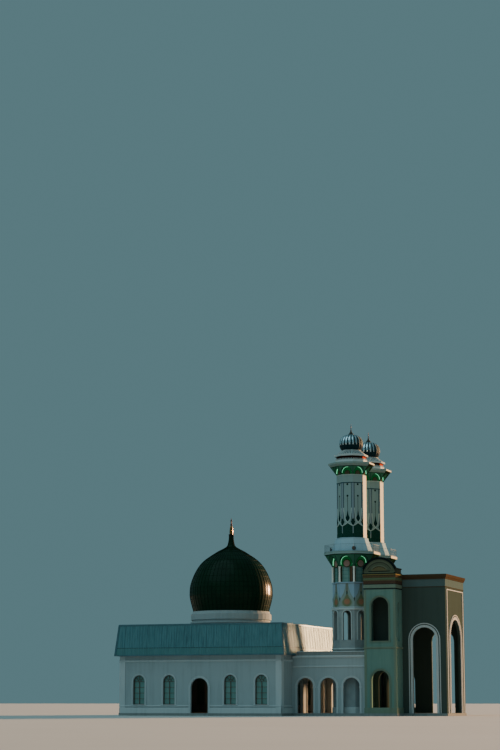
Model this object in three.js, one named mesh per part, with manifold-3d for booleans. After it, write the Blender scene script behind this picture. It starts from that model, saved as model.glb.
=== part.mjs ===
// Domed mosque with twin octagonal minarets, a tall entrance block and two side porches.
// Millimetres, +Z up. The origin lies on the ground under the main dome, +X runs to the entrance
// front and the building is the same on both sides of the plane y = 0, but for the porch roofs.
import * as THREE from 'three';
import { mergeVertices } from 'three/addons/utils/BufferGeometryUtils.js';
import Module from 'manifold-3d';

const wasm = await Module();
wasm.setup();

// Driving dimensions of the hall
const WALL = 300;
const FLOOR_TOP = 300;
const PLINTH = 100;
const HALL_HALF = 10300;
const HALL_TOP = 10300;
const DECK_TOP = 10700;
const EAVE_Z = 7050;
const EAVE_HALF = 10800;
const BAND_TOP = 10780;
const BAND_TOP_HALF = 10420;
const HALL_BAY = 3900;
const WINDOW = { width: 1500, sill: 1300, spring: 4000 };
const DOORWAY = { width: 2200, sill: FLOOR_TOP, spring: 3300 };

// Driving dimensions of the main dome
const DRUM_TOP = 12600;
const DRUM_INNER = 4450;
const NECK_START = 20795;
const NECK_RADIUS = 488;
const NECK_TOP = 22080;
const DOME_FINIAL_TOP = 24310;

// Driving dimensions of the vestibule and the entrance block
const VESTIBULE_HALF = 6600;
const VESTIBULE_TOP = 7000;
const BLOCK_START = 19300;
const BLOCK_END = 28500;
const BLOCK_HALF = 4300;
const BLOCK_TOP = 16000;
const BLOCK_CORNICE_TOP = 16330;
const CORNICE_REACH = 150;
const BACK_REACH = 50;

// Driving dimensions of the side porches
const PORCH_START = 19390;
const PORCH_END = 23230;
const PORCH_FRONT = 7000;
const PORCH_TOP = 16150;
const PORCH_CORNICE_TOP = 16500;
const PORCH_REACH = 90;
const PARAPET_HEAD = 17047;
const NORTH_PARAPET_HEAD = 16920;
const PEDIMENT_APEX = 18228;

// Driving dimensions of a minaret, as apothems and levels
const MINARET_X = 16940;
const MINARET_Y = 3580;
const BASE_APOTHEM = 2250;
const FOOT_TOP = 7800;
const BASE_TOP = 12335;
const LEDGE_TOP = 12630;
const STAGE_APOTHEM = 2167;
const STAGE_BORE = 1900;
const SILL_Z = 15480;
const SILL_TOP = 15600;
const SILL_APOTHEM = 2240;
const WINDOW_STAGE_TOP = 17444;
const LOWER_FLARE_TOP = 18850;
const LOWER_SLAB_BOTTOM = 18890;
const LOWER_SLAB_TOP = 19200;
const LOWER_SLAB_APOTHEM = 3098;
const SKIRT_FOOT = 2343;
const SKIRT_HEAD = 1790;
const SKIRT_TOP = 20850;
const SHAFT_BOTTOM = 20900;
const SHAFT_APOTHEM = 1640;
const SHAFT_BORE = 1400;
const SHAFT_TOP = 28493;
const UPPER_FLARE_TOP = 29450;
const UPPER_FLARE_APOTHEM = 2330;
const UPPER_SLAB_BOTTOM = 29720;
const UPPER_SLAB_TOP = 29920;
const UPPER_SLAB_APOTHEM = 2568;
const RECESS_BOTTOM = 30340;
const EAVE_BOTTOM = 30740;
const EAVE_TOP = 30940;
const TIER_TOP = 31530;
const RIBBED_DOME_RADIUS = 1441;
const MINARET_TIP = 34800;

// Quality of round forms and joining tolerance
const WELD = 1e-3;
const OCTAGON = 8;
const DOME_SIDES = 40;
const SMALL_SIDES = 24;
const FINIAL_SIDES = 12;
const ARC_STEPS = 4;
const SLIP = 0.3;

const part = new THREE.Group();
part.name = 'mosque';

// Closed body from any three.js geometry, turned outward where its faces point in.
function solid(geometry) {
  const bare = new THREE.BufferGeometry();
  bare.setAttribute('position', geometry.getAttribute('position'));
  if (geometry.index) bare.setIndex(geometry.index);
  const welded = mergeVertices(bare, WELD);
  const place = welded.getAttribute('position');
  const index = welded.index.array;
  const faces = [];
  let volume = 0;
  const a = new THREE.Vector3();
  const b = new THREE.Vector3();
  const c = new THREE.Vector3();
  for (let i = 0; i < index.length; i += 3) {
    const [p, q, r] = [index[i], index[i + 1], index[i + 2]];
    if (p === q || q === r || r === p) continue;
    faces.push(p, q, r);
    a.fromBufferAttribute(place, p);
    b.fromBufferAttribute(place, q);
    c.fromBufferAttribute(place, r);
    volume += a.dot(b.cross(c));
  }
  if (volume < 0) faces.reverse();
  const vertProperties = new Float32Array(place.array);
  const triVerts = new Uint32Array(faces);
  return new wasm.Manifold(new wasm.Mesh({ numProp: 3, vertProperties, triVerts }));
}

function box(x0, x1, y0, y1, z0, z1) {
  const geometry = new THREE.BoxGeometry(x1 - x0, y1 - y0, z1 - z0);
  geometry.translate((x0 + x1) / 2, (y0 + y1) / 2, (z0 + z1) / 2);
  return solid(geometry);
}

// Body of revolution about the vertical through x, y from radius and level pairs.
function turned(profile, sides = SMALL_SIDES, x = 0, y = 0) {
  const points = profile.map(([radius, level]) => new THREE.Vector2(radius, level));
  const geometry = new THREE.LatheGeometry(points, sides);
  geometry.rotateX(Math.PI / 2);
  geometry.translate(x, y, 0);
  return solid(geometry);
}

// Straight-sided body with flat faces to the axes, from apothem and level pairs.
function faceted(profile, sides, x = 0, y = 0) {
  const grow = 1 / Math.cos(Math.PI / sides);
  const points = profile.map(([apothem, level]) => new THREE.Vector2(apothem * grow, level));
  const geometry = new THREE.LatheGeometry(points, sides, Math.PI / sides);
  geometry.rotateX(Math.PI / 2);
  geometry.translate(x, y, 0);
  return solid(geometry);
}

// Ring profile between two apothems and two levels.
function ring(inner, outer, bottom, top) {
  return [[inner, bottom], [outer, bottom], [outer, top], [inner, top], [inner, bottom]];
}

// Flat outline drawn in x and z, pushed from one y to another.
function pushed(shape, y0, y1) {
  const settings = { depth: y1 - y0, bevelEnabled: false, curveSegments: ARC_STEPS };
  const geometry = new THREE.ExtrudeGeometry(shape, settings);
  geometry.rotateX(Math.PI / 2);
  geometry.translate(0, y1, 0);
  return geometry;
}

// Outline of an opening with straight jambs under a half ellipse.
function archShape({ width, sill, spring, rise = width / 2 }) {
  const half = width / 2;
  const shape = new THREE.Shape();
  shape.moveTo(-half, sill);
  shape.lineTo(half, sill);
  shape.lineTo(half, spring);
  shape.absellipse(0, spring, half, rise, 0, Math.PI, false, 0);
  shape.lineTo(-half, sill);
  return shape;
}

// Outline of an opening with straight jambs under a pointed head.
function pointedShape({ width, sill, spring, rise }) {
  const half = width / 2;
  const shape = new THREE.Shape();
  shape.moveTo(-half, sill);
  shape.lineTo(half, sill);
  shape.lineTo(half, spring);
  shape.quadraticCurveTo(half, spring + rise * 0.7, 0, spring + rise);
  shape.quadraticCurveTo(-half, spring + rise * 0.7, -half, spring);
  shape.lineTo(-half, sill);
  return shape;
}

// Cutter for a wall that runs along x, at a place along it.
function holeAlongX(shape, x, y0, y1) {
  const geometry = pushed(shape, y0, y1);
  geometry.translate(x, 0, 0);
  return solid(geometry);
}

// Cutter for a wall that runs along y, at a place along it.
function holeAlongY(shape, y, x0, x1) {
  const geometry = pushed(shape, -x1, -x0);
  geometry.rotateZ(Math.PI / 2);
  geometry.translate(0, y, 0);
  return solid(geometry);
}

// The same cutter in each face of an octagon, between two distances from its axis.
function faceCutters(shape, near, far, x, y, turns = [0, 1, 2, 3, 4, 5, 6, 7]) {
  return turns.map((turn) => {
    const geometry = pushed(shape, -far, -near);
    geometry.rotateZ((turn * Math.PI) / 4);
    geometry.translate(x, y, 0);
    return solid(geometry);
  });
}

function joined(bodies) {
  return bodies.reduce((sum, body) => sum.add(body));
}

function cut(body, cutters) {
  return cutters.reduce((rest, cutter) => rest.subtract(cutter), body);
}

function paint(color, roughness = 0.7, metalness = 0) {
  return { color, roughness, metalness };
}

const WHITE = paint(0xd9dde0);
const STONE_GREY = paint(0x9fa6a8);
const ROOF_BLUE = paint(0x4e8fa5, 0.45, 0.5);
const DOME_GREEN = paint(0x0d3128, 0.3, 0.6);
const GOLD = paint(0xb08a45, 0.35, 0.9);
const GLASS_TEAL = paint(0x1f4a50, 0.1);
const BROWN = paint(0x3b2018);
const RAIL = paint(0x6b6f70, 0.4, 0.8);
const RIBBED = paint(0x8fa3a8, 0.4);

// Named mesh of one body, mirrored in the plane y = 0 for a north piece.
function add(name, body, look, mirrored = false) {
  const { vertProperties, triVerts } = body.getMesh();
  const place = Float32Array.from(vertProperties);
  const index = Array.from(triVerts);
  if (mirrored) {
    for (let i = 1; i < place.length; i += 3) place[i] = -place[i];
    index.reverse();
  }
  const geometry = new THREE.BufferGeometry();
  geometry.setAttribute('position', new THREE.BufferAttribute(place, 3));
  geometry.setIndex(index);
  geometry.computeVertexNormals();
  const mesh = new THREE.Mesh(geometry, new THREE.MeshStandardMaterial(look));
  mesh.name = name;
  part.add(mesh);
}

// A south piece and its mirror image in the north.
function addPair(name, body, look) {
  add(`south_${name}`, body, look);
  add(`north_${name}`, body, look, true);
}

// Floor slab under the whole plan
const floorSlab = joined([
  box(-HALL_HALF - PLINTH, HALL_HALF + PLINTH, -HALL_HALF - PLINTH, HALL_HALF + PLINTH, 0, FLOOR_TOP),
  box(HALL_HALF, BLOCK_START, -VESTIBULE_HALF - PLINTH, VESTIBULE_HALF + PLINTH, 0, FLOOR_TOP),
  box(BLOCK_START - PLINTH, BLOCK_END + PLINTH, -BLOCK_HALF - PLINTH, BLOCK_HALF + PLINTH, 0, FLOOR_TOP),
  box(PORCH_START - PLINTH, PORCH_END + PLINTH, -PORCH_FRONT - PLINTH, PORCH_FRONT + PLINTH, 0, FLOOR_TOP),
]);
add('floor_slab', floorSlab, STONE_GREY);

// Hall walls with arched windows, a middle doorway in each side wall and three to the vestibule
const HALL_INNER = HALL_HALF - WALL;
const outerBays = [-2, -1, 1, 2].map((step) => step * HALL_BAY);
const bays = [-2, -1, 0, 1, 2].map((step) => step * HALL_BAY);
const sideWallHoles = [
  ...outerBays.map((x) => holeAlongX(archShape(WINDOW), x, -HALL_HALF - 50, -HALL_INNER + 50)),
  holeAlongX(archShape(DOORWAY), 0, -HALL_HALF - 50, -HALL_INNER + 50),
];
const sideWall = box(-HALL_HALF, HALL_HALF, -HALL_HALF, -HALL_INNER, FLOOR_TOP, HALL_TOP);
addPair('hall_wall', cut(sideWall, sideWallHoles), WHITE);

const westWall = box(-HALL_HALF, -HALL_INNER, -HALL_INNER, HALL_INNER, FLOOR_TOP, HALL_TOP);
const westHoles = bays.map((y) => holeAlongY(archShape(WINDOW), y, -HALL_HALF - 50, -HALL_INNER + 50));
add('west_hall_wall', cut(westWall, westHoles), WHITE);

const eastWall = box(HALL_INNER, HALL_HALF, -HALL_INNER, HALL_INNER, FLOOR_TOP, HALL_TOP);
const eastHoles = [-1, 0, 1].map((step) =>
  holeAlongY(archShape(DOORWAY), step * HALL_BAY, HALL_INNER - 50, HALL_HALF + 50));
add('east_hall_wall', cut(eastWall, eastHoles), WHITE);

// Glass sheets on the inner wall faces, one for the windows of each wall
const GLASS = 20;
const GLASS_HALF = 2 * HALL_BAY + WINDOW.width / 2 + 80;
const GLASS_BOTTOM = WINDOW.sill - 80;
const GLASS_TOP = WINDOW.spring + WINDOW.width / 2 + 80;
const sideGlass = box(-GLASS_HALF, GLASS_HALF, -HALL_INNER, -HALL_INNER + GLASS, GLASS_BOTTOM, GLASS_TOP);
const doorGap = DOORWAY.width / 2 + 60;
const doorHead = DOORWAY.spring + DOORWAY.width / 2 + 60;
const sideGlassGap = box(-doorGap, doorGap, -HALL_HALF, -HALL_INNER + 60, 0, doorHead);
addPair('hall_glass', cut(sideGlass, [sideGlassGap]), GLASS_TEAL);
const westGlass = box(-HALL_INNER, -HALL_INNER + GLASS, -GLASS_HALF, GLASS_HALF, GLASS_BOTTOM, GLASS_TOP);
add('west_hall_glass', westGlass, GLASS_TEAL);

// Flat hall roof with the opening under the dome
const roofDeck = box(-HALL_HALF, HALL_HALF, -HALL_HALF, HALL_HALF, HALL_TOP, DECK_TOP);
const deckOpening = turned([[0, HALL_TOP - 50], [DRUM_INNER, HALL_TOP - 50], [DRUM_INNER, DECK_TOP + 50],
  [0, DECK_TOP + 50]], DOME_SIDES);
add('hall_roof_deck', cut(roofDeck, [deckOpening]), STONE_GREY);

// Steep band of roof sheet around the hall, from the eave to just above the flat roof
const SHEET = 70;
const CAP_REACH = 100;
const roofBand = faceted([
  [EAVE_HALF - SHEET, EAVE_Z],
  [EAVE_HALF, EAVE_Z],
  [BAND_TOP_HALF, BAND_TOP],
  [HALL_HALF - CAP_REACH, BAND_TOP],
  [HALL_HALF - CAP_REACH, DECK_TOP],
  [BAND_TOP_HALF - SHEET, DECK_TOP],
  [EAVE_HALF - SHEET, EAVE_Z + SHEET],
  [EAVE_HALF - SHEET, EAVE_Z],
], 4);
const bandReach = 2 * EAVE_HALF;
const bandSide = new THREE.Shape([[0, -SLIP], [-bandReach, -bandReach - SLIP], [bandReach, -bandReach - SLIP]]
  .map(([x, y]) => new THREE.Vector2(x, y)));
['south', 'east', 'north', 'west'].forEach((side, turn) => {
  const wedge = new THREE.ExtrudeGeometry(bandSide, { depth: BAND_TOP, bevelEnabled: false });
  wedge.rotateZ((turn * Math.PI) / 2);
  wedge.translate(0, 0, 100);
  add(side + '_roof_band', roofBand.intersect(solid(wedge)), ROOF_BLUE);
});
add('eave_soffit', faceted(ring(HALL_HALF, EAVE_HALF - SHEET, EAVE_Z, EAVE_Z + SHEET), 4), ROOF_BLUE);

// Four piers and the square of beams that carry the drum
const PIER_AT = 5200;
const PIER = 600;
const BEAM_BOTTOM = HALL_TOP - PIER;
const frameOuter = PIER_AT + PIER / 2;
const frameInner = PIER_AT - PIER / 2;
const piers = [[-1, -1], [1, -1], [1, 1], [-1, 1]].map(([sx, sy]) => box(
  Math.min(sx * frameInner, sx * frameOuter), Math.max(sx * frameInner, sx * frameOuter),
  Math.min(sy * frameInner, sy * frameOuter), Math.max(sy * frameInner, sy * frameOuter),
  FLOOR_TOP, HALL_TOP));
const beams = faceted(ring(frameInner, frameOuter, BEAM_BOTTOM, HALL_TOP), 4);
add('dome_piers', joined([beams, ...piers]), WHITE);

// Drum with two white mouldings under the dome
add('dome_drum', turned([
  [DRUM_INNER, DECK_TOP],
  [4900, DECK_TOP],
  [4900, 11080],
  [5050, 11130],
  [5050, 11300],
  [4850, 11340],
  [4850, 11510],
  [5000, 11570],
  [5000, 12260],
  [4850, 12330],
  [4780, DRUM_TOP],
  [DRUM_INNER, DRUM_TOP],
  [DRUM_INNER, DECK_TOP],
], DOME_SIDES), WHITE);

// Bulbous main dome in three rings, a shell open at the bottom and drawn up towards a slim neck
const domeOutside = new THREE.SplineCurve([
  [4660, DRUM_TOP], [5060, 14090], [5138, 14950], [5004, 16070], [4362, 17630], [3430, 18850],
  [1835, 19960], [1000, 20410], [NECK_RADIUS, NECK_START],
].map(([radius, level]) => new THREE.Vector2(radius, level))).getPoints(16);
const domeInside = new THREE.SplineCurve([
  [0, 20150], [1700, 19750], [3290, 18700], [4200, 17560], [4845, 16070], [4975, 14950],
  [4900, 14090], [4500, DRUM_TOP],
].map(([radius, level]) => new THREE.Vector2(radius, level))).getPoints(10);
const domeShell = turned([
  ...domeInside.map((point) => [point.x, point.y]),
  ...domeOutside.map((point) => [point.x, point.y]),
  [0, NECK_START],
], DOME_SIDES);
const domeLevels = [DRUM_TOP, 15600, 18300, NECK_START];
['lower', 'middle', 'top'].forEach((level, step) => {
  const reach = 6000;
  const slice = box(-reach, reach, -reach, reach, domeLevels[step], domeLevels[step + 1]);
  add(`main_dome_${level}`, domeShell.intersect(slice), DOME_GREEN);
});

// Finial: slim neck, flared cap, tapered body and two balls under the point
add('dome_finial', turned([
  [0, NECK_START],
  [NECK_RADIUS, NECK_START],
  [370, 21100],
  [300, 21540],
  [275, NECK_TOP],
  [340, 22200],
  [225, 22270],
  [200, 22800],
  [120, 23290],
  [75, 23330],
  [125, 23430],
  [75, 23530],
  [65, 23840],
  [110, 23930],
  [60, 24030],
  [0, DOME_FINIAL_TOP],
], FINIAL_SIDES), GOLD);

// Vestibule side walls, each with three arches and a return to the entrance block
const VESTIBULE_INNER = VESTIBULE_HALF - WALL;
const ROOF_SLAB = 300;
const vestibuleWallTop = VESTIBULE_TOP - ROOF_SLAB;
const ARCADE = { width: 2000, sill: FLOOR_TOP, spring: 3400 };
const returnEnd = -BLOCK_HALF - 450;
const vestibuleWall = joined([
  box(HALL_HALF, BLOCK_START, -VESTIBULE_HALF, -VESTIBULE_INNER, FLOOR_TOP, vestibuleWallTop),
  box(BLOCK_START - WALL, BLOCK_START, -VESTIBULE_INNER, returnEnd, FLOOR_TOP, vestibuleWallTop),
  box(BLOCK_START - 100, BLOCK_START, returnEnd, -BLOCK_HALF + WALL, FLOOR_TOP, vestibuleWallTop),
]);
const arcadeMiddle = (HALL_HALF + BLOCK_START) / 2;
const arcadeHoles = [-1, 0, 1].map((step) => holeAlongX(
  archShape(ARCADE), arcadeMiddle + step * 2850, -VESTIBULE_HALF - 50, -VESTIBULE_INNER + 50));
addPair('vestibule_wall', cut(vestibuleWall, arcadeHoles), WHITE);

// Vestibule roof with low parapets and the two holes that the minarets rise through
const PARAPET = 150;
const PARAPET_TOP = 7400;
const parapetStart = EAVE_HALF + 50;
const vestibuleRoof = joined([
  box(HALL_HALF, BLOCK_START, -VESTIBULE_HALF, VESTIBULE_HALF, vestibuleWallTop, VESTIBULE_TOP),
  box(parapetStart, BLOCK_START, -VESTIBULE_HALF, -VESTIBULE_HALF + PARAPET, vestibuleWallTop, PARAPET_TOP),
  box(parapetStart, BLOCK_START, VESTIBULE_HALF - PARAPET, VESTIBULE_HALF, vestibuleWallTop, PARAPET_TOP),
]);
const minaretHoles = [-MINARET_Y, MINARET_Y].map((y) => faceted([
  [0, vestibuleWallTop - 50],
  [BASE_APOTHEM + 5, vestibuleWallTop - 50],
  [BASE_APOTHEM + 5, VESTIBULE_TOP + 50],
  [0, VESTIBULE_TOP + 50],
], OCTAGON, MINARET_X, y));
add('vestibule_roof', cut(vestibuleRoof, minaretHoles), STONE_GREY);

// Entrance block: tall side walls, a front wall with a great arch and a back wall between the minarets
const BLOCK_INNER = BLOCK_HALF - WALL;
const PORCH_MIDDLE = (PORCH_START + PORCH_END) / 2;
const SIDE_ARCH = { width: 2800, sill: FLOOR_TOP, spring: 8800 };
const SIDE_ARCH_AT = 25900;
const PORCH_DOOR = { width: 2100, sill: FLOOR_TOP, spring: 4150 };
const FRONT_ARCH = { width: 4800, sill: FLOOR_TOP, spring: 8800 };
const BACK_ARCH = { width: 2000, sill: FLOOR_TOP, spring: 4200 };
const blockSide = box(BLOCK_START, BLOCK_END, -BLOCK_HALF, -BLOCK_INNER, FLOOR_TOP, BLOCK_TOP);
const blockSideHoles = [
  holeAlongX(archShape(SIDE_ARCH), SIDE_ARCH_AT, -BLOCK_HALF - 50, -BLOCK_INNER + 50),
  holeAlongX(archShape(PORCH_DOOR), PORCH_MIDDLE, -BLOCK_HALF - 50, -BLOCK_INNER + 50),
];
addPair('block_wall', cut(blockSide, blockSideHoles), WHITE);

const blockFront = box(BLOCK_END - WALL, BLOCK_END, -BLOCK_INNER, BLOCK_INNER, FLOOR_TOP, BLOCK_TOP);
const frontHole = holeAlongY(archShape(FRONT_ARCH), 0, BLOCK_END - WALL - 50, BLOCK_END + 50);
add('front_block_wall', cut(blockFront, [frontHole]), WHITE);

const blockBack = box(BLOCK_START, BLOCK_START + WALL, -BLOCK_INNER, BLOCK_INNER, FLOOR_TOP, BLOCK_TOP);
const backHole = holeAlongY(archShape(BACK_ARCH), 0, BLOCK_START - 50, BLOCK_START + WALL + 50);
add('back_block_wall', cut(blockBack, [backHole]), WHITE);

add('block_roof', box(BLOCK_START - BACK_REACH, BLOCK_END + CORNICE_REACH,
  -BLOCK_HALF - CORNICE_REACH, BLOCK_HALF + CORNICE_REACH, BLOCK_TOP, BLOCK_CORNICE_TOP), BROWN);

// Side porches: three walls with an arched window over a doorway
const porchInnerStart = PORCH_START + WALL;
const porchInnerEnd = PORCH_END - WALL;
const PORCH_WINDOW = { width: 2100, sill: 8600, spring: 12620 };
const PORCH_SIDE_WINDOW = { width: 1000, sill: 8600, spring: 12620 };
const porchShell = cut(box(PORCH_START, PORCH_END, -PORCH_FRONT, -BLOCK_HALF, FLOOR_TOP, PORCH_TOP), [
  box(porchInnerStart, porchInnerEnd, -PORCH_FRONT + WALL, -BLOCK_HALF + 50, 0, PORCH_TOP + 50),
  holeAlongX(archShape(PORCH_WINDOW), PORCH_MIDDLE, -PORCH_FRONT - 50, -PORCH_FRONT + WALL + 50),
  holeAlongX(archShape(PORCH_DOOR), PORCH_MIDDLE, -PORCH_FRONT - 50, -PORCH_FRONT + WALL + 50),
  holeAlongY(archShape(PORCH_SIDE_WINDOW), -(PORCH_FRONT + BLOCK_HALF) / 2, PORCH_START - 50, PORCH_END + 50),
]);
// The wall tops beside the block stop short of its cornice
const corniceClearance = box(PORCH_START - 50, PORCH_END + 50, -BLOCK_HALF - CORNICE_REACH, 0,
  BLOCK_TOP, PORCH_TOP + 50);
addPair('porch_walls', cut(porchShell, [corniceClearance]), WHITE);

// Porch roofs: flat slabs with a cornice; the south one has an arched pediment with a heavy coping
// between side parapets, the north one a level parapet on three sides
const pedimentHalf = (PORCH_END - PORCH_START) / 2;
const pedimentRise = PEDIMENT_APEX - PARAPET_HEAD;
const pedimentRadius = (pedimentHalf ** 2 + pedimentRise ** 2) / (2 * pedimentRise);
const pedimentCentre = PEDIMENT_APEX - pedimentRadius;
const porchBack = -BLOCK_HALF - CORNICE_REACH;
const PEDIMENT = 350;
const SIDE_PARAPET = 200;
const COPING = 110;

// Segment of a circle around the pediment's centre, closed at a bottom level.
function segmentShape(radius, half, bottom) {
  const angle = Math.acos(half / radius);
  const shape = new THREE.Shape();
  shape.moveTo(-half, bottom);
  shape.lineTo(half, bottom);
  shape.lineTo(half, pedimentCentre + radius * Math.sin(angle));
  shape.absarc(0, pedimentCentre, radius, angle, Math.PI - angle, false);
  shape.lineTo(-half, bottom);
  return shape;
}

const roofSlab = box(PORCH_START - PORCH_REACH, PORCH_END + PORCH_REACH, -PORCH_FRONT - PORCH_REACH, porchBack,
  PORCH_TOP, PORCH_CORNICE_TOP);
const pediment = holeAlongX(segmentShape(pedimentRadius, pedimentHalf, PORCH_CORNICE_TOP), PORCH_MIDDLE,
  -PORCH_FRONT, -PORCH_FRONT + PEDIMENT);
const copingShape = segmentShape(pedimentRadius + COPING, pedimentHalf + PORCH_REACH, PARAPET_HEAD - COPING);
const copingOuter = holeAlongX(copingShape, PORCH_MIDDLE, -PORCH_FRONT - PORCH_REACH, -PORCH_FRONT + PEDIMENT);
const recessShape = segmentShape(pedimentRadius - COPING, pedimentHalf - COPING, PORCH_CORNICE_TOP - 50);
const copingInner = holeAlongX(recessShape, PORCH_MIDDLE, -PORCH_FRONT - PORCH_REACH - 50, -PORCH_FRONT);

// Parapet wall between two places along x and two along y, under its wider coping.
function parapet(x0, x1, y0, y1, head) {
  return box(x0, x1, y0, y1, PORCH_CORNICE_TOP, head).add(
    box(x0 - PORCH_REACH, x1 + PORCH_REACH, y0, y1, head - COPING, head));
}

const sideParapets = (head) => [
  parapet(PORCH_START, PORCH_START + SIDE_PARAPET, -PORCH_FRONT, porchBack, head),
  parapet(PORCH_END - SIDE_PARAPET, PORCH_END, -PORCH_FRONT, porchBack, head),
];
const southPorchRoof = joined([roofSlab, pediment, copingOuter, ...sideParapets(PARAPET_HEAD)]);
add('south_porch_roof', cut(southPorchRoof, [copingInner]), BROWN);
const frontParapet = parapet(PORCH_START, PORCH_END, -PORCH_FRONT, SIDE_PARAPET - PORCH_FRONT,
  NORTH_PARAPET_HEAD);
const frontCoping = box(PORCH_START - PORCH_REACH, PORCH_END + PORCH_REACH, -PORCH_FRONT - PORCH_REACH,
  -PORCH_FRONT, NORTH_PARAPET_HEAD - COPING, NORTH_PARAPET_HEAD);
const northPorchRoof = joined([roofSlab, frontParapet, frontCoping, ...sideParapets(NORTH_PARAPET_HEAD)]);
add('north_porch_roof', northPorchRoof, BROWN, true);

// Minaret foot with a doorway, and base with arched openings, a ledge and the ornament wall above
const minaretAt = [MINARET_X, -MINARET_Y];
const BASE_OPENING = { width: 1000, sill: 8800, spring: 11750 };
const MINARET_DOOR = { width: 1000, sill: FLOOR_TOP, spring: 2200 };
const INWARD = [4];
const minaretBase = faceted([
  [STAGE_BORE, FOOT_TOP],
  [BASE_APOTHEM, FOOT_TOP],
  [BASE_APOTHEM, BASE_TOP],
  [2330, BASE_TOP],
  [2330, LEDGE_TOP],
  [STAGE_APOTHEM, LEDGE_TOP],
  [STAGE_APOTHEM, SILL_Z],
  [STAGE_BORE, SILL_Z],
  [STAGE_BORE, FOOT_TOP],
], OCTAGON, ...minaretAt);
addPair('minaret_base', cut(minaretBase,
  faceCutters(archShape(BASE_OPENING), STAGE_BORE - 100, BASE_APOTHEM + 100, ...minaretAt)), WHITE);
const minaretFoot = faceted(ring(STAGE_BORE, BASE_APOTHEM, FLOOR_TOP, FOOT_TOP), OCTAGON, ...minaretAt);
addPair('minaret_foot', cut(minaretFoot,
  faceCutters(archShape(MINARET_DOOR), STAGE_BORE - 100, BASE_APOTHEM + 100, ...minaretAt, INWARD)), WHITE);

// Window stage: sill ledge, one tall opening in each face and a column with eight sides at each corner
const STAGE_CORE = 2020;
const COLUMN = 115;
const COLUMN_OUT = 2340;
const stageOpening = new THREE.Shape([[-430, 15650], [430, 15650], [430, 17390], [-430, 17390]]
  .map(([x, z]) => new THREE.Vector2(x, z)));
const stageCore = faceted([
  [STAGE_BORE, SILL_Z],
  [SILL_APOTHEM, SILL_Z],
  [SILL_APOTHEM, SILL_TOP],
  [STAGE_CORE, SILL_TOP],
  [STAGE_CORE, WINDOW_STAGE_TOP],
  [STAGE_BORE, WINDOW_STAGE_TOP],
  [STAGE_BORE, SILL_Z],
], OCTAGON, ...minaretAt);
const columns = [0, 1, 2, 3, 4, 5, 6, 7].map((turn) => {
  const bottom = SILL_TOP - 40;
  const geometry = new THREE.CylinderGeometry(COLUMN, COLUMN, WINDOW_STAGE_TOP - bottom, 8);
  geometry.rotateX(Math.PI / 2);
  geometry.translate(0, -COLUMN_OUT, (WINDOW_STAGE_TOP + bottom) / 2);
  geometry.rotateZ(((turn + 0.5) * Math.PI) / 4);
  geometry.translate(...minaretAt, 0);
  return solid(geometry);
});
addPair('window_stage', joined([
  cut(stageCore, faceCutters(stageOpening, STAGE_BORE - 100, STAGE_CORE + 100, ...minaretAt)),
  ...columns,
]), WHITE);
addPair('window_glass', faceted(ring(STAGE_CORE + SLIP, STAGE_CORE + SLIP + GLASS, SILL_TOP, WINDOW_STAGE_TOP),
  OCTAGON, ...minaretAt), GLASS_TEAL);

// Lower gallery: flare with an arched niche in each face under the walkway slab
const LOWER_NICHE = { width: 1440, sill: WINDOW_STAGE_TOP - 50, spring: 17960, rise: 720 };
const lowerFlare = faceted([
  [STAGE_BORE, WINDOW_STAGE_TOP],
  [STAGE_APOTHEM, WINDOW_STAGE_TOP],
  [2995, LOWER_FLARE_TOP],
  [2995, LOWER_SLAB_BOTTOM],
  [LOWER_SLAB_APOTHEM, LOWER_SLAB_BOTTOM],
  [LOWER_SLAB_APOTHEM, LOWER_SLAB_TOP],
  [STAGE_BORE, LOWER_SLAB_TOP],
  [STAGE_BORE, WINDOW_STAGE_TOP],
], OCTAGON, ...minaretAt);
addPair('lower_gallery', cut(lowerFlare,
  faceCutters(archShape(LOWER_NICHE), STAGE_APOTHEM - 40, LOWER_SLAB_APOTHEM + 100, ...minaretAt)), WHITE);

// Lower gallery railing: two rails on posts along the sides
const RAILING = { apothem: 3040, height: 860, half: 25, postHalf: 20, postsPerSide: 2 };
const railTop = LOWER_SLAB_TOP + RAILING.height;
const railInner = RAILING.apothem - RAILING.half;
const railOuter = RAILING.apothem + RAILING.half;
const railSide = 2 * RAILING.apothem * Math.tan(Math.PI / OCTAGON);
const railPosts = [];
for (let turn = 0; turn < OCTAGON; turn += 1) {
  for (let step = 0; step < RAILING.postsPerSide; step += 1) {
    const thick = 2 * RAILING.postHalf;
    const geometry = new THREE.BoxGeometry(thick, thick, RAILING.height - 2 * RAILING.half);
    const along = railSide * ((step + 0.5) / RAILING.postsPerSide - 0.5);
    geometry.translate(along, -RAILING.apothem, LOWER_SLAB_TOP + RAILING.height / 2);
    geometry.rotateZ((turn * Math.PI) / 4);
    geometry.translate(...minaretAt, 0);
    railPosts.push(solid(geometry));
  }
}
addPair('lower_railing', joined([
  faceted(ring(railInner, railOuter, LOWER_SLAB_TOP, LOWER_SLAB_TOP + 2 * RAILING.half), OCTAGON, ...minaretAt),
  faceted(ring(railInner, railOuter, railTop - 2 * RAILING.half, railTop), OCTAGON, ...minaretAt),
  ...railPosts,
]), RAIL);

// Sloping skirt at the foot of the shaft
addPair('minaret_skirt', faceted([
  [SKIRT_FOOT - 200, LOWER_SLAB_TOP],
  [SKIRT_FOOT, LOWER_SLAB_TOP],
  [SKIRT_HEAD, SKIRT_TOP],
  [SKIRT_HEAD, SHAFT_BOTTOM],
  [SHAFT_BORE, SHAFT_BOTTOM],
  [SKIRT_FOOT - 200, LOWER_SLAB_TOP],
], OCTAGON, ...minaretAt), WHITE);

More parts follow.
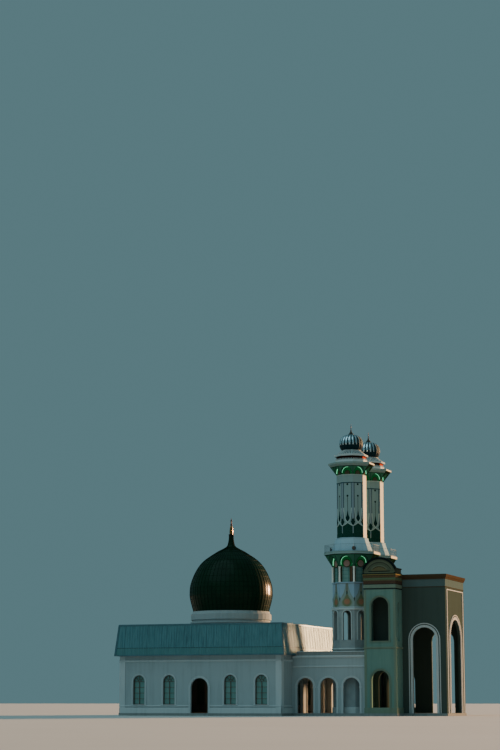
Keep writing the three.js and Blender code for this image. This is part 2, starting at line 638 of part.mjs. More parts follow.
// Shaft: tall panels and, on all sides but the east, a band of pointed recesses low down
const LATTICE = { width: 1200, sill: SHAFT_BOTTOM, spring: 22200, rise: 420 };
const LATTICE_TURNS = [0, 1, 3, 4, 5, 6, 7];
const shaftBody = faceted(ring(SHAFT_BORE, SHAFT_APOTHEM, SHAFT_BOTTOM, SHAFT_TOP), OCTAGON, ...minaretAt);
const shaftPanel = new THREE.Shape([[-510, 23100], [510, 23100], [510, 27560], [-510, 27560]]
  .map(([x, z]) => new THREE.Vector2(x, z)));
addPair('minaret_shaft', cut(shaftBody, [
  ...faceCutters(pointedShape(LATTICE), SHAFT_APOTHEM - 40, SHAFT_APOTHEM + 100, ...minaretAt, LATTICE_TURNS),
  ...faceCutters(shaftPanel, SHAFT_APOTHEM - 20, SHAFT_APOTHEM + 100, ...minaretAt),
]), WHITE);

// Upper gallery: a smaller flare with round niches and its slab
const UPPER_NICHE = { width: 1280, sill: SHAFT_TOP - 50, spring: 28707, rise: 690 };
const upperFlare = faceted([
  [SHAFT_BORE, SHAFT_TOP],
  [SHAFT_APOTHEM, SHAFT_TOP],
  [UPPER_FLARE_APOTHEM, UPPER_FLARE_TOP],
  [UPPER_SLAB_APOTHEM, UPPER_SLAB_BOTTOM],
  [UPPER_SLAB_APOTHEM, UPPER_SLAB_TOP],
  [SHAFT_BORE, UPPER_SLAB_TOP],
  [SHAFT_BORE, SHAFT_TOP],
], OCTAGON, ...minaretAt);
addPair('upper_gallery', cut(upperFlare,
  faceCutters(archShape(UPPER_NICHE), SHAFT_APOTHEM - 40, UPPER_SLAB_APOTHEM + 100, ...minaretAt)), WHITE);

// Top tier: low wall, recessed band, thin eave and the concave roof drawn up to the small dome
addPair('minaret_tier', faceted([
  [1350, UPPER_SLAB_TOP],
  [1771, UPPER_SLAB_TOP],
  [1771, RECESS_BOTTOM],
  [1650, RECESS_BOTTOM],
  [1650, EAVE_BOTTOM],
  [1870, EAVE_BOTTOM],
  [1870, EAVE_TOP],
  [1700, 30985],
  [1580, 31070],
  [1420, 31210],
  [1230, 31360],
  [1110, 31465],
  [1090, TIER_TOP],
  [870, TIER_TOP],
  [870, 30880],
  [1350, 30880],
  [1350, UPPER_SLAB_TOP],
], OCTAGON, ...minaretAt), WHITE);

// Small ribbed dome, round below and with a full shoulder above its widest level, under a concave cap
// drawn up into a needle
const DOME_WIDEST = 32342;
const SHOULDER = 0.87;
const domePoint = (degrees) => {
  const angle = THREE.MathUtils.degToRad(degrees);
  if (degrees <= 0) {
    return [RIBBED_DOME_RADIUS * Math.cos(angle), DOME_WIDEST + 1306 * Math.sin(angle)];
  }
  return [RIBBED_DOME_RADIUS * Math.cos(angle) ** SHOULDER, DOME_WIDEST + 1160 * Math.sin(angle) ** SHOULDER];
};
const domeAngles = [-24, -12, 0, 12, 24, 36, 48, 60, 70, 78];
const cap = new THREE.QuadraticBezierCurve(
  new THREE.Vector2(340, 33500), new THREE.Vector2(130, 33560), new THREE.Vector2(60, 33981)).getPoints(5);
const ribbedDome = turned([
  [0, TIER_TOP],
  [1125, TIER_TOP],
  ...domeAngles.map(domePoint),
  ...cap.map((point) => [point.x, point.y]),
  [0, MINARET_TIP],
], SMALL_SIDES, ...minaretAt);
addPair('minaret_dome', ribbedDome, RIBBED);

export default part;
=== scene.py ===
import math
import bmesh
import bpy
from mathutils import Matrix, Vector


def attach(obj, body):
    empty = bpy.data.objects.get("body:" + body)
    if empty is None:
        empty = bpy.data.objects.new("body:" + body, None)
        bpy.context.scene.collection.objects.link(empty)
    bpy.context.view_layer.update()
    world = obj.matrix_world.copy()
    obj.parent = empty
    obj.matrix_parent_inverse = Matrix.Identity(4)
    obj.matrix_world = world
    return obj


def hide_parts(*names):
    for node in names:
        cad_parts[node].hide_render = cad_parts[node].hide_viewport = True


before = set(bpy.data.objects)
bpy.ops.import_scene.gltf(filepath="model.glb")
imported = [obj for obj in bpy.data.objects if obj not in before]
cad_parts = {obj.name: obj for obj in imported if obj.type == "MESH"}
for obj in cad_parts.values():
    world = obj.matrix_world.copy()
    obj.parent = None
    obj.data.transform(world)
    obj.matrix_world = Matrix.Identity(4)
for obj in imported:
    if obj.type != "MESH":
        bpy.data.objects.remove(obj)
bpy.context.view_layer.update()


# Camera, floor and light.
# The photograph was taken from far off with a long lens, from near ground level and tilted up at
# the minarets. A plain pale floor and soft lamps stand in for the place.
PHOTO_HEIGHT = 750
FOCAL_PIXELS = 1835
HORIZON_ROW = 702
HEADING = math.radians(20.7)
EYE = (83.33, -213.89, 1.6)
SENSOR = 36
FAR_CLIP = 3000
SKY_STRENGTH = 0.3
FLOOR_REACH, FLOOR_DROP = 1500, 0.005
SQUARE = ((-1, -1), (1, -1), (1, 1), (-1, 1))

tilt = math.atan((HORIZON_ROW - PHOTO_HEIGHT / 2) / FOCAL_PIXELS)
camera_data = bpy.data.cameras.new("camera")
camera_data.sensor_fit = "VERTICAL"
camera_data.sensor_height = SENSOR
camera_data.lens = FOCAL_PIXELS / PHOTO_HEIGHT * SENSOR
camera_data.clip_end = FAR_CLIP
camera = bpy.data.objects.new("camera", camera_data)
camera.location = EYE
camera.rotation_euler = (math.pi / 2 + tilt, 0, HEADING)
bpy.context.collection.objects.link(camera)
bpy.context.scene.camera = camera


def hue(code):
    """Colour for a shader from the six digits of a paint colour."""
    parts = [int(code[place:place + 2], 16) / 255 for place in (0, 2, 4)]
    return [part / 12.92 if part <= 0.04045 else ((part + 0.055) / 1.055) ** 2.4 for part in parts] + [1]


class Socket:
    """Output of a shader node, so that sums and products are written as such."""

    def __init__(self, finish, output):
        self.finish = finish
        self.output = output

    def math(self, operation, *inputs):
        return self.finish.node("ShaderNodeMath", {"operation": operation}, inputs)

    def __add__(self, other):
        return self.math("ADD", self, other)

    def __sub__(self, other):
        return self.math("SUBTRACT", self, other)

    def __rsub__(self, other):
        return self.math("SUBTRACT", other, self)

    def __mul__(self, other):
        return self.math("MULTIPLY", self, other)

    def __gt__(self, other):
        return self.math("GREATER_THAN", self, other)

    __radd__ = __add__
    __rmul__ = __mul__

    def clamped(self):
        return self.math("MINIMUM", self.math("MAXIMUM", self, 0.0), 1.0)


class Finish:
    """Material with one principled shader and the nodes that vary it."""

    def __init__(self, name, **constants):
        self.material = bpy.data.materials.new(name)
        self.material.use_nodes = True
        self.tree = self.material.node_tree
        self.shader = self.tree.nodes["Principled BSDF"]
        self.place = self.node("ShaderNodeTexCoord", output="Object")
        for key, value in constants.items():
            self.feed(key.replace("_", " "), value)

    def wire(self, socket, value):
        """Link a node's output to a socket, or set a plain value on it."""
        if isinstance(value, Socket):
            self.tree.links.new(value.output, socket)
        else:
            socket.default_value = value

    def node(self, kind, settings=None, inputs=(), output=0):
        """Node with its settings and its inputs, which are given in order or by their names."""
        made = self.tree.nodes.new(kind)
        for key, value in (settings or {}).items():
            setattr(made, key, value)
        for key, value in inputs.items() if isinstance(inputs, dict) else enumerate(inputs):
            self.wire(made.inputs[key], value)
        return Socket(self, made.outputs[output])

    def feed(self, name, value):
        self.wire(self.shader.inputs[name], value)

    def mix(self, share, first, second):
        """Blend of two colours, on those sockets of the node that hold colours."""
        return self.node("ShaderNodeMix", {"data_type": "RGBA"}, {0: share, 6: first, 7: second}, 2)

    def noise(self, scale, detail=3.0, rough=0.55, place=None):
        return self.node("ShaderNodeTexNoise", {}, {
            "Vector": place or self.place, "Scale": scale, "Detail": detail, "Roughness": rough})

    def drawn(self, across, upward):
        """Place drawn out along the height, so that a noise on it runs down the wall."""
        return self.node("ShaderNodeMapping", {}, {"Vector": self.place, "Scale": (across, across, upward)})

    def height(self):
        return self.node("ShaderNodeSeparateXYZ", {}, [self.place], "Z")

    def east(self):
        """How much a place faces the east side, from -1 to 1."""
        return self.node("ShaderNodeSeparateXYZ", {}, [self.node("ShaderNodeNewGeometry", output="Normal")])

    def bump(self, height, strength, distance):
        self.feed("Normal", self.node("ShaderNodeBump", {}, {
            "Strength": strength, "Distance": distance, "Height": height}))


def two_tone(name, light, dark, scale, rough=None, **constants):
    """Finish that wavers between two colours, with its roughness as start, spread and scale."""
    made = Finish(name, **constants)
    made.feed("Base Color", made.mix(made.noise(scale), hue(light), hue(dark)))
    if rough:
        start, spread, grain = rough
        made.feed("Roughness", start + made.noise(grain) * spread)
    return made


def lamp(name, power, colour, softness, elevation, bearing):
    """Soft far lamp, by its height over the floor and its bearing from +X towards +Y."""
    data = bpy.data.lights.new(name, "SUN")
    data.energy = power
    data.color = hue(colour)[:3]
    data.angle = math.radians(softness)
    made = bpy.data.objects.new(name, data)
    made.rotation_euler = (0, math.radians(90 - elevation), math.radians(bearing))
    bpy.context.collection.objects.link(made)


world = bpy.data.worlds.new("studio")
world.use_nodes = True
sky = world.node_tree.nodes["Background"]
sky.inputs["Color"].default_value = hue("9cd2dc")
sky.inputs["Strength"].default_value = SKY_STRENGTH
bpy.context.scene.world = world
lamp("side_lamp", power=11.0, colour="ffc28c", softness=8, elevation=7, bearing=62)
lamp("front_fill", power=0.88, colour="bfe6ef", softness=60, elevation=60, bearing=-120)

floor_mesh = bpy.data.meshes.new("floor")
floor_mesh.from_pydata([(x * FLOOR_REACH, y * FLOOR_REACH, 0) for x, y in SQUARE], [], [(0, 1, 2, 3)])
floor_object = bpy.data.objects.new("floor", floor_mesh)
floor_object.location.z = -FLOOR_DROP
bpy.context.collection.objects.link(floor_object)
floor_mesh.materials.append(two_tone("pale_floor", "c8c6c2", "d2d0cc", 0.05, Roughness=0.9).material)


# Walls of the hall and the vestibule.
# Brick walls and piers under painted render, which is matt and a little stained where rain runs
# down it.
MATT = 0.0
SIDES = ("south", "east", "north", "west")


def render_finish(name, colour, worn, streaks=0.35, grain=18.0):
    """Painted render: broad stains, faint runs down the wall and a sandy grain."""
    made = Finish(name, Specular_IOR_Level=MATT)
    runs = made.noise(1.5, 4.0, 0.6, made.drawn(1.6, 0.12))
    broad = made.noise(0.35)
    dirt = ((runs - 0.45) * 2.2 + (broad - 0.5) * 1.4).clamped() * streaks
    made.feed("Base Color", made.mix(dirt, hue(colour), hue(worn)))
    made.feed("Roughness", 0.78 + made.noise(6.0) * 0.2)
    made.bump(made.noise(grain, 5.0), 0.25, 0.01)
    return made


def dress(finish, *nodes):
    """Put a finish on nodes of the frame that keep their shape."""
    for node in nodes:
        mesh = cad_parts[node].data
        mesh.materials.clear()
        mesh.materials.append(finish.material)


def both(*names):
    """Full names of pieces that stand on the south and on the north side."""
    return [side + "_" + name for name in names for side in ("south", "north")]


wall_paint = render_finish("wall_paint", "a9b4b6", "6f7b7c")
dress(wall_paint, *[side + "_hall_wall" for side in SIDES], *both("vestibule_wall"), "dome_piers")


# Roof band of the hall.
# Steep blue sheet metal with upright ribs, fixed to a hidden frame. It has a folded cap along the
# top, flashings down the four corners and a gutter strip at the eave.
def ring(count):
    """Cosine and sine of each of some points spread evenly around a circle."""
    angles = [2 * math.pi * k / count for k in range(count)]
    return [(math.cos(angle), math.sin(angle)) for angle in angles]


class Work:
    """Mesh under construction in metres, with a main finish and others on some of its faces."""

    def __init__(self, main):
        self.main = main
        self.points = []
        self.faces = []
        self.looks = []
        self.place = Matrix.Identity(4)

    def face(self, centre, turn, sides=8):
        """Work on one flat side: x runs along it and -y points out of it."""
        self.place = (Matrix.Translation((centre[0], centre[1], 0))
                      @ Matrix.Rotation(2 * math.pi * turn / sides, 4, "Z"))

    def rows(self, rows, look=None, closed=False):
        """Skin over rings of as many points each, with ends or closed to the first ring."""
        count = len(rows[0])
        faces = []
        spots = []
        for i in range(len(rows) if closed else len(rows) - 1):
            first, second = i * count, (i + 1) % len(rows) * count
            for k in range(count):
                after = (k + 1) % count
                faces.append((first + k, first + after, second + after, second + k))
                spots.append((i, k))
        if not closed:
            for i in (0, len(rows) - 1):
                faces.append([i * count + k for k in range(count)])
                spots.append((i, 0))
        start = len(self.points)
        self.points += [self.place @ Vector(point) for row in rows for point in row]
        self.faces += [[start + corner for corner in face] for face in faces]
        self.looks += [look(*spot) if callable(look) else look or self.main for spot in spots]

    def block(self, low, high, look=None):
        self.rows([[(low[0], low[1], z), (high[0], low[1], z), (high[0], high[1], z), (low[0], high[1], z)]
                   for z in (low[2], high[2])], look)

    def board(self, x, half, near, far, low, high, look=None):
        """Block on a flat side: its middle and half width, its distances out and its levels."""
        self.block((x - half, -far, low), (x + half, -near, high), look)

    def plate(self, outline, near, far, look=None):
        """Outline in x and z with a thickness, from one distance out to another."""
        self.rows([[(x, -out, z) for x, z in outline] for out in (near, far)], look)

    def ribbon(self, path, half, near, far, look=None):
        """Flat band along a path in x and z, half its width to each side."""
        rows = []
        for i, (x, z) in enumerate(path):
            ahead, behind = path[min(i + 1, len(path) - 1)], path[max(i - 1, 0)]
            run, rise = ahead[0] - behind[0], ahead[1] - behind[1]
            length = math.hypot(run, rise)
            side, up = half * rise / length, -half * run / length
            deep, proud = (near(z), far(z)) if callable(near) else (near, far)
            rows.append([(x - side, -deep, z - up), (x + side, -deep, z + up),
                         (x + side, -proud, z + up), (x - side, -proud, z - up)])
        self.rows(rows, look)

    def sweep(self, corners, profile, look=None, closed=True):
        """Moulding around plan corners, from its section as reach outward and height."""
        rows = []
        for i, corner in enumerate(corners):
            normals = []
            for first, second in ((i - 1, i), (i, i + 1)):
                if closed or (first >= 0 and second < len(corners)):
                    (ax, ay), (bx, by) = corners[first % len(corners)], corners[second % len(corners)]
                    length = math.hypot(bx - ax, by - ay)
                    normals.append(Vector(((by - ay) / length, (ax - bx) / length)))
            mitre = sum(normals, Vector((0, 0)))
            mitre /= mitre.dot(normals[0])
            rows.append([(corner[0] + mitre.x * reach, corner[1] + mitre.y * reach, z)
                         for reach, z in profile])
        self.rows(rows, look, closed)

    def turned(self, profile, sides, look=None, wave=lambda k: 1):
        """Body turned about the upright axis from radius and height pairs."""
        self.rows([[(radius * wave(k) * c, radius * wave(k) * s, z) for k, (c, s) in enumerate(ring(sides))]
                   for radius, z in profile], look, profile[0] == profile[-1])

    def boss(self, x, z, out, profile, sides, look=None):
        """Round relief on a flat side, from pairs of its radius and how far it lies off one distance out."""
        self.rows([[(x + radius * c, -out - proud, z + radius * s) for c, s in ring(sides)]
                   for radius, proud in profile], look)

    def bar(self, start, end, radius, sides, look=None):
        """Round bar from one point to another."""
        along = (Vector(end) - Vector(start)).normalized()
        across = along.cross(Vector((0, 1, 0))).normalized()
        upward = across.cross(along)
        self.rows([[Vector(spot) + radius * (across * c + upward * s) for c, s in ring(sides)]
                   for spot in (start, end)], look)

    def piece(self, name, replaced=(), sharp=None, slot=None):
        """Object from the mesh, with outward faces, riding on the building."""
        mesh = bpy.data.meshes.new(name)
        mesh.from_pydata(self.points, [], self.faces)
        finishes = list(dict.fromkeys(self.looks))
        for finish in finishes:
            mesh.materials.append(finish.material)
        mesh.polygons.foreach_set("material_index", [finishes.index(look) for look in self.looks])
        shell = bmesh.new()
        shell.from_mesh(mesh)
        bmesh.ops.remove_doubles(shell, verts=shell.verts, dist=1e-5)
        bmesh.ops.recalc_face_normals(shell, faces=shell.faces)
        shell.to_mesh(mesh)
        shell.free()
        if sharp is not None:
            mesh.shade_smooth()
            mesh.set_sharp_from_angle(angle=math.radians(sharp))
        made = bpy.data.objects.new(name, mesh)
        bpy.context.collection.objects.link(made)
        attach(made, "root")
        if replaced:
            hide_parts(*replaced)


def band_reach(z):
    """Reach of the sloping sheet beyond the hall's walls."""
    return EAVE_REACH + (TOP_REACH - EAVE_REACH) * (z - EAVE_Z) / (BAND_TOP_Z - EAVE_Z)


HALL_HALF = 10.3
EAVE_REACH, EAVE_Z = 0.5, 7.05
TOP_REACH, BAND_TOP_Z = 0.12, 10.78
SHEET_TOP_Z, SHEET_DEPTH = 10.72, 0.05
STRIP_Z, LAP_HEIGHT = 7.93, 0.05
RIB_PITCH, RIB_FOOT, RIB_CROWN = 0.32, 0.04, 0.018
RIB_RISE, MAIN_RIB_RISE, MAIN_RIB_STEP = 0.035, 0.05, 3
FLASHING, FLASHING_RISE = 0.14, 0.06
CAP_PROFILE = [(-0.1, 10.7), (0.06, 10.7), (0.06, 10.64), (0.175, 10.6), (0.18, 10.76), (0.02, 10.79),
               (-0.1, 10.78)]
GUTTER_PROFILE = [(0, 7.06), (0.44, 7.06), (0.44, 7.02), (0.54, 7.02), (0.54, 7.17), (0.47, 7.17),
                  (0.47, 7.1), (0, 7.1)]
hall_plan = [(x * HALL_HALF, y * HALL_HALF) for x, y in SQUARE]

roof_sheet = Finish("blue_roof_sheet", Metallic=0.25)
wash = roof_sheet.noise(0.4, 4.0)
runs = roof_sheet.noise(2.0, 4.0, 0.6, roof_sheet.drawn(2.5, 0.15))
roof_sheet.feed("Base Color", roof_sheet.mix(
    ((runs - 0.42) * 2.5 + (wash - 0.5)).clamped(), hue("5b8b92"), hue("3f6a72")))
roof_sheet.feed("Roughness", 0.34 + runs * 0.3)
roof_sheet.bump(roof_sheet.noise(1.2, 2.0), 0.2, 0.03)
flashing = two_tone("folded_flashing", "5a8490", "42666f", 1.5, Metallic=0.35, Roughness=0.42)
eave_sheet = two_tone("eave_strip_sheet", "5f8f90", "4a7678", 0.8, Metallic=0.25, Roughness=0.5)
lap_shadow = two_tone("sheet_lap_shadow", "1f3d42", "172e33", 1.5, Metallic=0.2, Roughness=0.6)

band = Work(roof_sheet)
band.sweep(hall_plan, [(band_reach(z) - back, z) for z, back in (
    (EAVE_Z, 0), (SHEET_TOP_Z, 0), (SHEET_TOP_Z, SHEET_DEPTH), (EAVE_Z, SHEET_DEPTH))])
for low, high, proud, look in ((EAVE_Z + 0.02, STRIP_Z, 0.012, eave_sheet),
                               (STRIP_Z, STRIP_Z + LAP_HEIGHT, 0.03, lap_shadow)):
    band.sweep(hall_plan, [(band_reach(z) + out, z) for z, out in (
        (low, proud), (high, proud), (high, -0.02), (low, -0.02))], look)
for profile in (CAP_PROFILE, GUTTER_PROFILE):
    band.sweep(hall_plan, profile, flashing)
for turn in range(4):
    band.face((0, 0), turn, 4)
    ends = [(z, HALL_HALF + band_reach(z)) for z in (EAVE_Z, SHEET_TOP_Z)]
    ribs = int((HALL_HALF - FLASHING) / RIB_PITCH)
    for step in range(-ribs, ribs + 1):
        x = step * RIB_PITCH
        rise = RIB_RISE if step % MAIN_RIB_STEP else MAIN_RIB_RISE
        band.rows([[(x - RIB_FOOT, 0.003 - out, z), (x - RIB_CROWN, -out - rise, z),
                    (x + RIB_CROWN, -out - rise, z), (x + RIB_FOOT, 0.003 - out, z)] for z, out in ends])
    for side in (-1, 1):
        rows = []
        for z, out in ends:
            inner, outer = side * (out - FLASHING), side * (out + FLASHING_RISE)
            back, front = 0.02 - out, -out - FLASHING_RISE
            rows.append([(inner, back, z), (inner, front, z), (outer, front, z), (outer, back, z)])
        band.rows(rows, flashing)
band.piece("roof_sheets", [side + "_roof_band" for side in SIDES] + ["eave_soffit"], slot="blue_roof_sheet")

screed = render_finish("roof_screed", "8d9290", "5f6664", 0.6, 30.0)
dress(screed, "hall_roof_deck", "vestibule_roof", "floor_slab")


# Drum and main dome.
# The drum is a white moulded ring. The dome is dark green sheet in upright strips, with raised
# seams between them and level laps, drawn up into a slim neck.
def smooth_line(knots, steps):
    """Points of a soft curve through the knots, with some steps for each stretch."""
    line = []
    for i in range(len(knots) - 1):
        p = [knots[max(i - 1, 0)], knots[i], knots[i + 1], knots[min(i + 2, len(knots) - 1)]]
        for k in range(steps):
            t = k / steps
            line.append(tuple(
                0.5 * (2 * p[1][a] + (p[2][a] - p[0][a]) * t
                       + (2 * p[0][a] - 5 * p[1][a] + 4 * p[2][a] - p[3][a]) * t * t
                       + (3 * p[1][a] - p[0][a] - 3 * p[2][a] + p[3][a]) * t ** 3)
                for a in range(2)))
    return line + [tuple(knots[-1])]


def lifted(line, spot, lift):
    """Point of a radius and height line, lifted square to it."""
    before, after = line[max(spot - 1, 0)], line[min(spot + 1, len(line) - 1)]
    run, rise = after[0] - before[0], after[1] - before[1]
    length = math.hypot(run, rise)
    return line[spot][0] + lift * rise / length, line[spot][1] - lift * run / length


DRUM_TOP_Z, SEAT_RADIUS = 12.6, 4.4
NECK_TOP_Z, NECK_RADIUS = 22.08, 0.6
DOME_STRIPS = 56
SINK = 0.01
SEAM_HALF, SEAM_RISE = 0.017, 0.03
LAP_HALF, LAP_RISE = 0.02, 0.006
STRETCH_STEPS, LAP_STRETCHES = 6, 8
dome_line = smooth_line([
    (4.66, DRUM_TOP_Z), (5.06, 14.09), (5.138, 14.95), (5.004, 16.07), (4.362, 17.63), (3.43, 18.85),
    (1.835, 19.96), (1.0, 20.41), (0.488, 20.795), (0.3, 21.54), (0.275, NECK_TOP_Z)], STRETCH_STEPS)

dress(wall_paint, "dome_drum")
dome_sheet = Finish("green_dome_sheet", Specular_IOR_Level=0.06)
patches = dome_sheet.noise(0.8)
shade = ((patches - 0.35) * 1.8).clamped()
dome_sheet.feed("Base Color", dome_sheet.mix(shade, hue("163122"), hue("0f2419")))
dome_sheet.feed("Roughness", 0.2 + patches * 0.1)
dome_sheet.bump(dome_sheet.noise(0.9, 2.0), 0.2, 0.02)
seam_metal = two_tone("dome_seam_metal", "14301f", "0a1c15", 2.0, Roughness=0.6, Specular_IOR_Level=0.02)

dome = Work(dome_sheet)
dome.turned([(SEAT_RADIUS, DRUM_TOP_Z)] + dome_line, DOME_STRIPS)
for strip in range(DOME_STRIPS):
    dome.face((0, 0), strip, DOME_STRIPS)
    rows = []
    for spot, (radius, z) in enumerate(dome_line):
        if radius > NECK_RADIUS or strip % 4 == 0:
            (low, foot), (high, crown) = lifted(dome_line, spot, -SINK), lifted(dome_line, spot, SEAM_RISE)
            rows.append([(low, -SEAM_HALF, foot), (low, SEAM_HALF, foot),
                         (high, SEAM_HALF, crown), (high, -SEAM_HALF, crown)])
    dome.rows(rows, seam_metal)
dome.place = Matrix.Identity(4)
for lap in range(STRETCH_STEPS // 2, LAP_STRETCHES * STRETCH_STEPS, STRETCH_STEPS // 2):
    low, z = dome_line[lap]
    high, crown = lifted(dome_line, lap, LAP_RISE)
    dome.turned([(low - SINK, z - LAP_HALF), (high, crown - LAP_HALF), (high, crown + LAP_HALF),
                 (low - SINK, z + LAP_HALF), (low - SINK, z - LAP_HALF)], DOME_STRIPS, seam_metal)
dome.piece("seamed_dome", ["main_dome_lower", "main_dome_middle", "main_dome_top"], sharp=5,
           slot="green_dome_sheet")


# Finial of the main dome.
# A flared cap of dark metal closes the neck. A tapered gilt body stands on it and carries two dark
# red balls on a rod under the point, all turned and slid over one mast.
FINIAL_CAP = [(0.28, 21.95), (0.285, 22.05), (0.3, 22.12), (0.35, 22.19), (0.345, 22.22), (0.25, 22.25),
              (0.215, 22.28)]
FINIAL_BODY = [(0.2, 22.25), (0.215, 22.28), (0.215, 22.4), (0.225, 22.5), (0.2, 22.8), (0.16, 23.1),
               (0.12, 23.28), (0.09, 23.31), (0.07, 23.33)]
FINIAL_ROD = [(0.06, 23.3), (0.075, 23.33), (0.115, 23.38), (0.127, 23.43), (0.115, 23.48), (0.078, 23.53),
              (0.068, 23.57), (0.066, 23.82), (0.075, 23.86), (0.105, 23.91), (0.111, 23.95), (0.085, 24.01),
              (0.055, 24.05), (0.03, 24.18), (0.004, 24.31)]
finial_gold = two_tone("finial_gold", "a07a3c", "6c4a22", 5.0, (0.22, 0.12, 9.0), Metallic=0.85)
spire_red = two_tone("spire_red", "5a1c12", "3a120c", 6.0, (0.35, 0.2, 9.0), Metallic=0.2,
                     Specular_IOR_Level=0.1)
dark_cap = two_tone("finial_cap_metal", "3a3426", "1c1a14", 4.0, (0.55, 0.2, 7.0), Metallic=0.2,
                    Specular_IOR_Level=0.1)
finial = Work(finial_gold)
for profile, sides, look in ((FINIAL_CAP, 28, dark_cap), (FINIAL_BODY, 28, finial_gold),
                             (FINIAL_ROD, 24, spire_red)):
    finial.turned(profile, sides, look)
finial.piece("dome_spire", ["dome_finial"], sharp=35, slot="finial_brass")


# Windows, doorways and mouldings of the hall.
# Each arched opening has a moulded surround of run render. The windows have painted timber frames
# with a middle post, cross bars and a fan in the head. A plinth and two string courses go round.
SET_IN = 0.02


def arch_line(half, foot, spring, rise=None, steps=16):
    """Outline of an arched opening, up one jamb, over the head and down the other."""
    head = [(half * math.cos(math.pi * k / steps), spring + (rise or half) * math.sin(math.pi * k / steps))
            for k in range(steps + 1)]
    return [(half, foot)] + head + [(-half, foot)]


def section(low, high, *points):
    """Section of a moulding between two levels, with its back set into the wall."""
    return [(-SET_IN, low), *points, (-SET_IN, high)]


def surround(work, x, out, half, foot, spring, width, look=None):
    """Moulded frame around an arched opening, with a wider member and a thin edge."""
    for inner, outer, proud in ((0, width, 0.05), (width - 0.03, width + 0.03, 0.08), (0.02, 0.06, 0.075)):
        path = [(x + px, z) for px, z in arch_line(half + (inner + outer) / 2, foot, spring)]
        work.ribbon(path, (outer - inner) / 2, out - SET_IN, out + proud, look)


def glazing(work, x, out, half, foot, spring):
    """Timber frame in an arched opening: edge, middle post, cross bars and fan."""
    def fan(radius, angle):
        return x + radius * math.cos(angle), spring + radius * math.sin(angle)
    hub, back, front = 0.3 * half, out - 0.055, out - 0.01
    work.ribbon([(x + px, z) for px, z in arch_line(half - FRAME_HALF, foot, spring)], FRAME_HALF,
                out - 2 * FRAME_HALF, out)
    work.board(x, half, out - 2 * FRAME_HALF, out, foot, foot + 2 * FRAME_HALF)
    work.board(x, 0.03, out - 0.06, out - 0.005, foot, spring)
    for step in range(1, CROSS_BARS + 1):
        z = foot + (spring - foot) * step / CROSS_BARS
        work.board(x, half, back, front, z - 0.022, z + 0.022)
    for eighths in (2, 4, 6):
        angle = math.pi * eighths / 8
        work.ribbon([fan(hub, angle), fan(half, angle)], 0.02, back, front)
    work.ribbon([fan(hub, math.pi * eighths / 8) for eighths in range(9)], 0.02, back, front)


FLOOR_Z = 0.3
BAY = 3.9
FOUR_BAYS, FIVE_BAYS = (-2, -1, 1, 2), (-2, -1, 0, 1, 2)
# Bays with windows and bays with doorways on each side, from the south around by the east.
HALL_SIDES = ((FOUR_BAYS, [0]), ([], [-1, 0, 1]), (FOUR_BAYS, [0]), (FIVE_BAYS, []))
WINDOW_HALF, WINDOW_FOOT, WINDOW_SPRING, WINDOW_DEPTH = 0.75, 1.3, 4.0, 0.16
SILL_HALF, SILL_PROUD, SILL_HEIGHT = 0.98, 0.13, 0.09
FRAME_HALF, CROSS_BARS = 0.035, 4
DOOR_HALF, DOOR_SPRING, DOOR_CLEAR = 1.1, 3.3, 0.25
CORNER_HALF, CORNER_PROUD, CORNER_TOP_Z = 0.35, 0.06, 7.0
VESTIBULE_HALF = 6.6
PLINTH_PROFILE = section(FLOOR_Z, 0.92, (0.07, FLOOR_Z), (0.07, 0.86), (0.03, 0.92))
SILL_PROFILE = section(1.06, 1.22, (0.05, 1.06), (0.09, 1.1), (0.09, 1.16), (0.05, 1.2))
STRING_PROFILE = section(6.3, 6.56, (0.04, 6.3), (0.12, 6.42), (0.12, 6.5), (0.06, 6.54))
moulding = render_finish("run_mouldings", "c3cacb", "8a9394", 0.3, 40.0)
timber = two_tone("painted_timber", "6b3f2c", "472a1e", 3.0, Roughness=0.5)
trims = Work(moulding)
frames = Work(timber)
for turn, (windows, doors) in enumerate(HALL_SIDES):
    trims.face((0, 0), turn, 4)
    frames.face((0, 0), turn, 4)
    for x in [step * BAY for step in windows]:
        surround(trims, x, HALL_HALF, WINDOW_HALF, WINDOW_FOOT, WINDOW_SPRING, 0.16)
        trims.board(x, SILL_HALF, HALL_HALF - SET_IN, HALL_HALF + SILL_PROUD,
                    WINDOW_FOOT - SILL_HEIGHT, WINDOW_FOOT)
        glazing(frames, x, HALL_HALF - WINDOW_DEPTH, WINDOW_HALF, WINDOW_FOOT, WINDOW_SPRING)
    stops = [-HALL_HALF, HALL_HALF]
    for x in [step * BAY for step in doors]:
        surround(trims, x, HALL_HALF, DOOR_HALF, FLOOR_Z, DOOR_SPRING, 0.22)
        stops += [x - DOOR_HALF - DOOR_CLEAR, x + DOOR_HALF + DOOR_CLEAR]
    for side in (-1, 1):
        trims.board(side * (HALL_HALF - CORNER_HALF), CORNER_HALF,
                    HALL_HALF - SET_IN, HALL_HALF + CORNER_PROUD, FLOOR_Z, CORNER_TOP_Z)
    if turn == 1:
        stops = [-HALL_HALF, -VESTIBULE_HALF, VESTIBULE_HALF, HALL_HALF]
    stops.sort()
    for start, end in zip(stops[::2], stops[1::2]):
        for profile in (PLINTH_PROFILE, SILL_PROFILE):
            trims.sweep([(start, -HALL_HALF), (end, -HALL_HALF)], profile, closed=False)
    trims.sweep([(-HALL_HALF, -HALL_HALF), (HALL_HALF, -HALL_HALF)], STRING_PROFILE, closed=False)
trims.piece("hall_mouldings", slot="wall_render")
frames.piece("hall_window_frames", sharp=30)


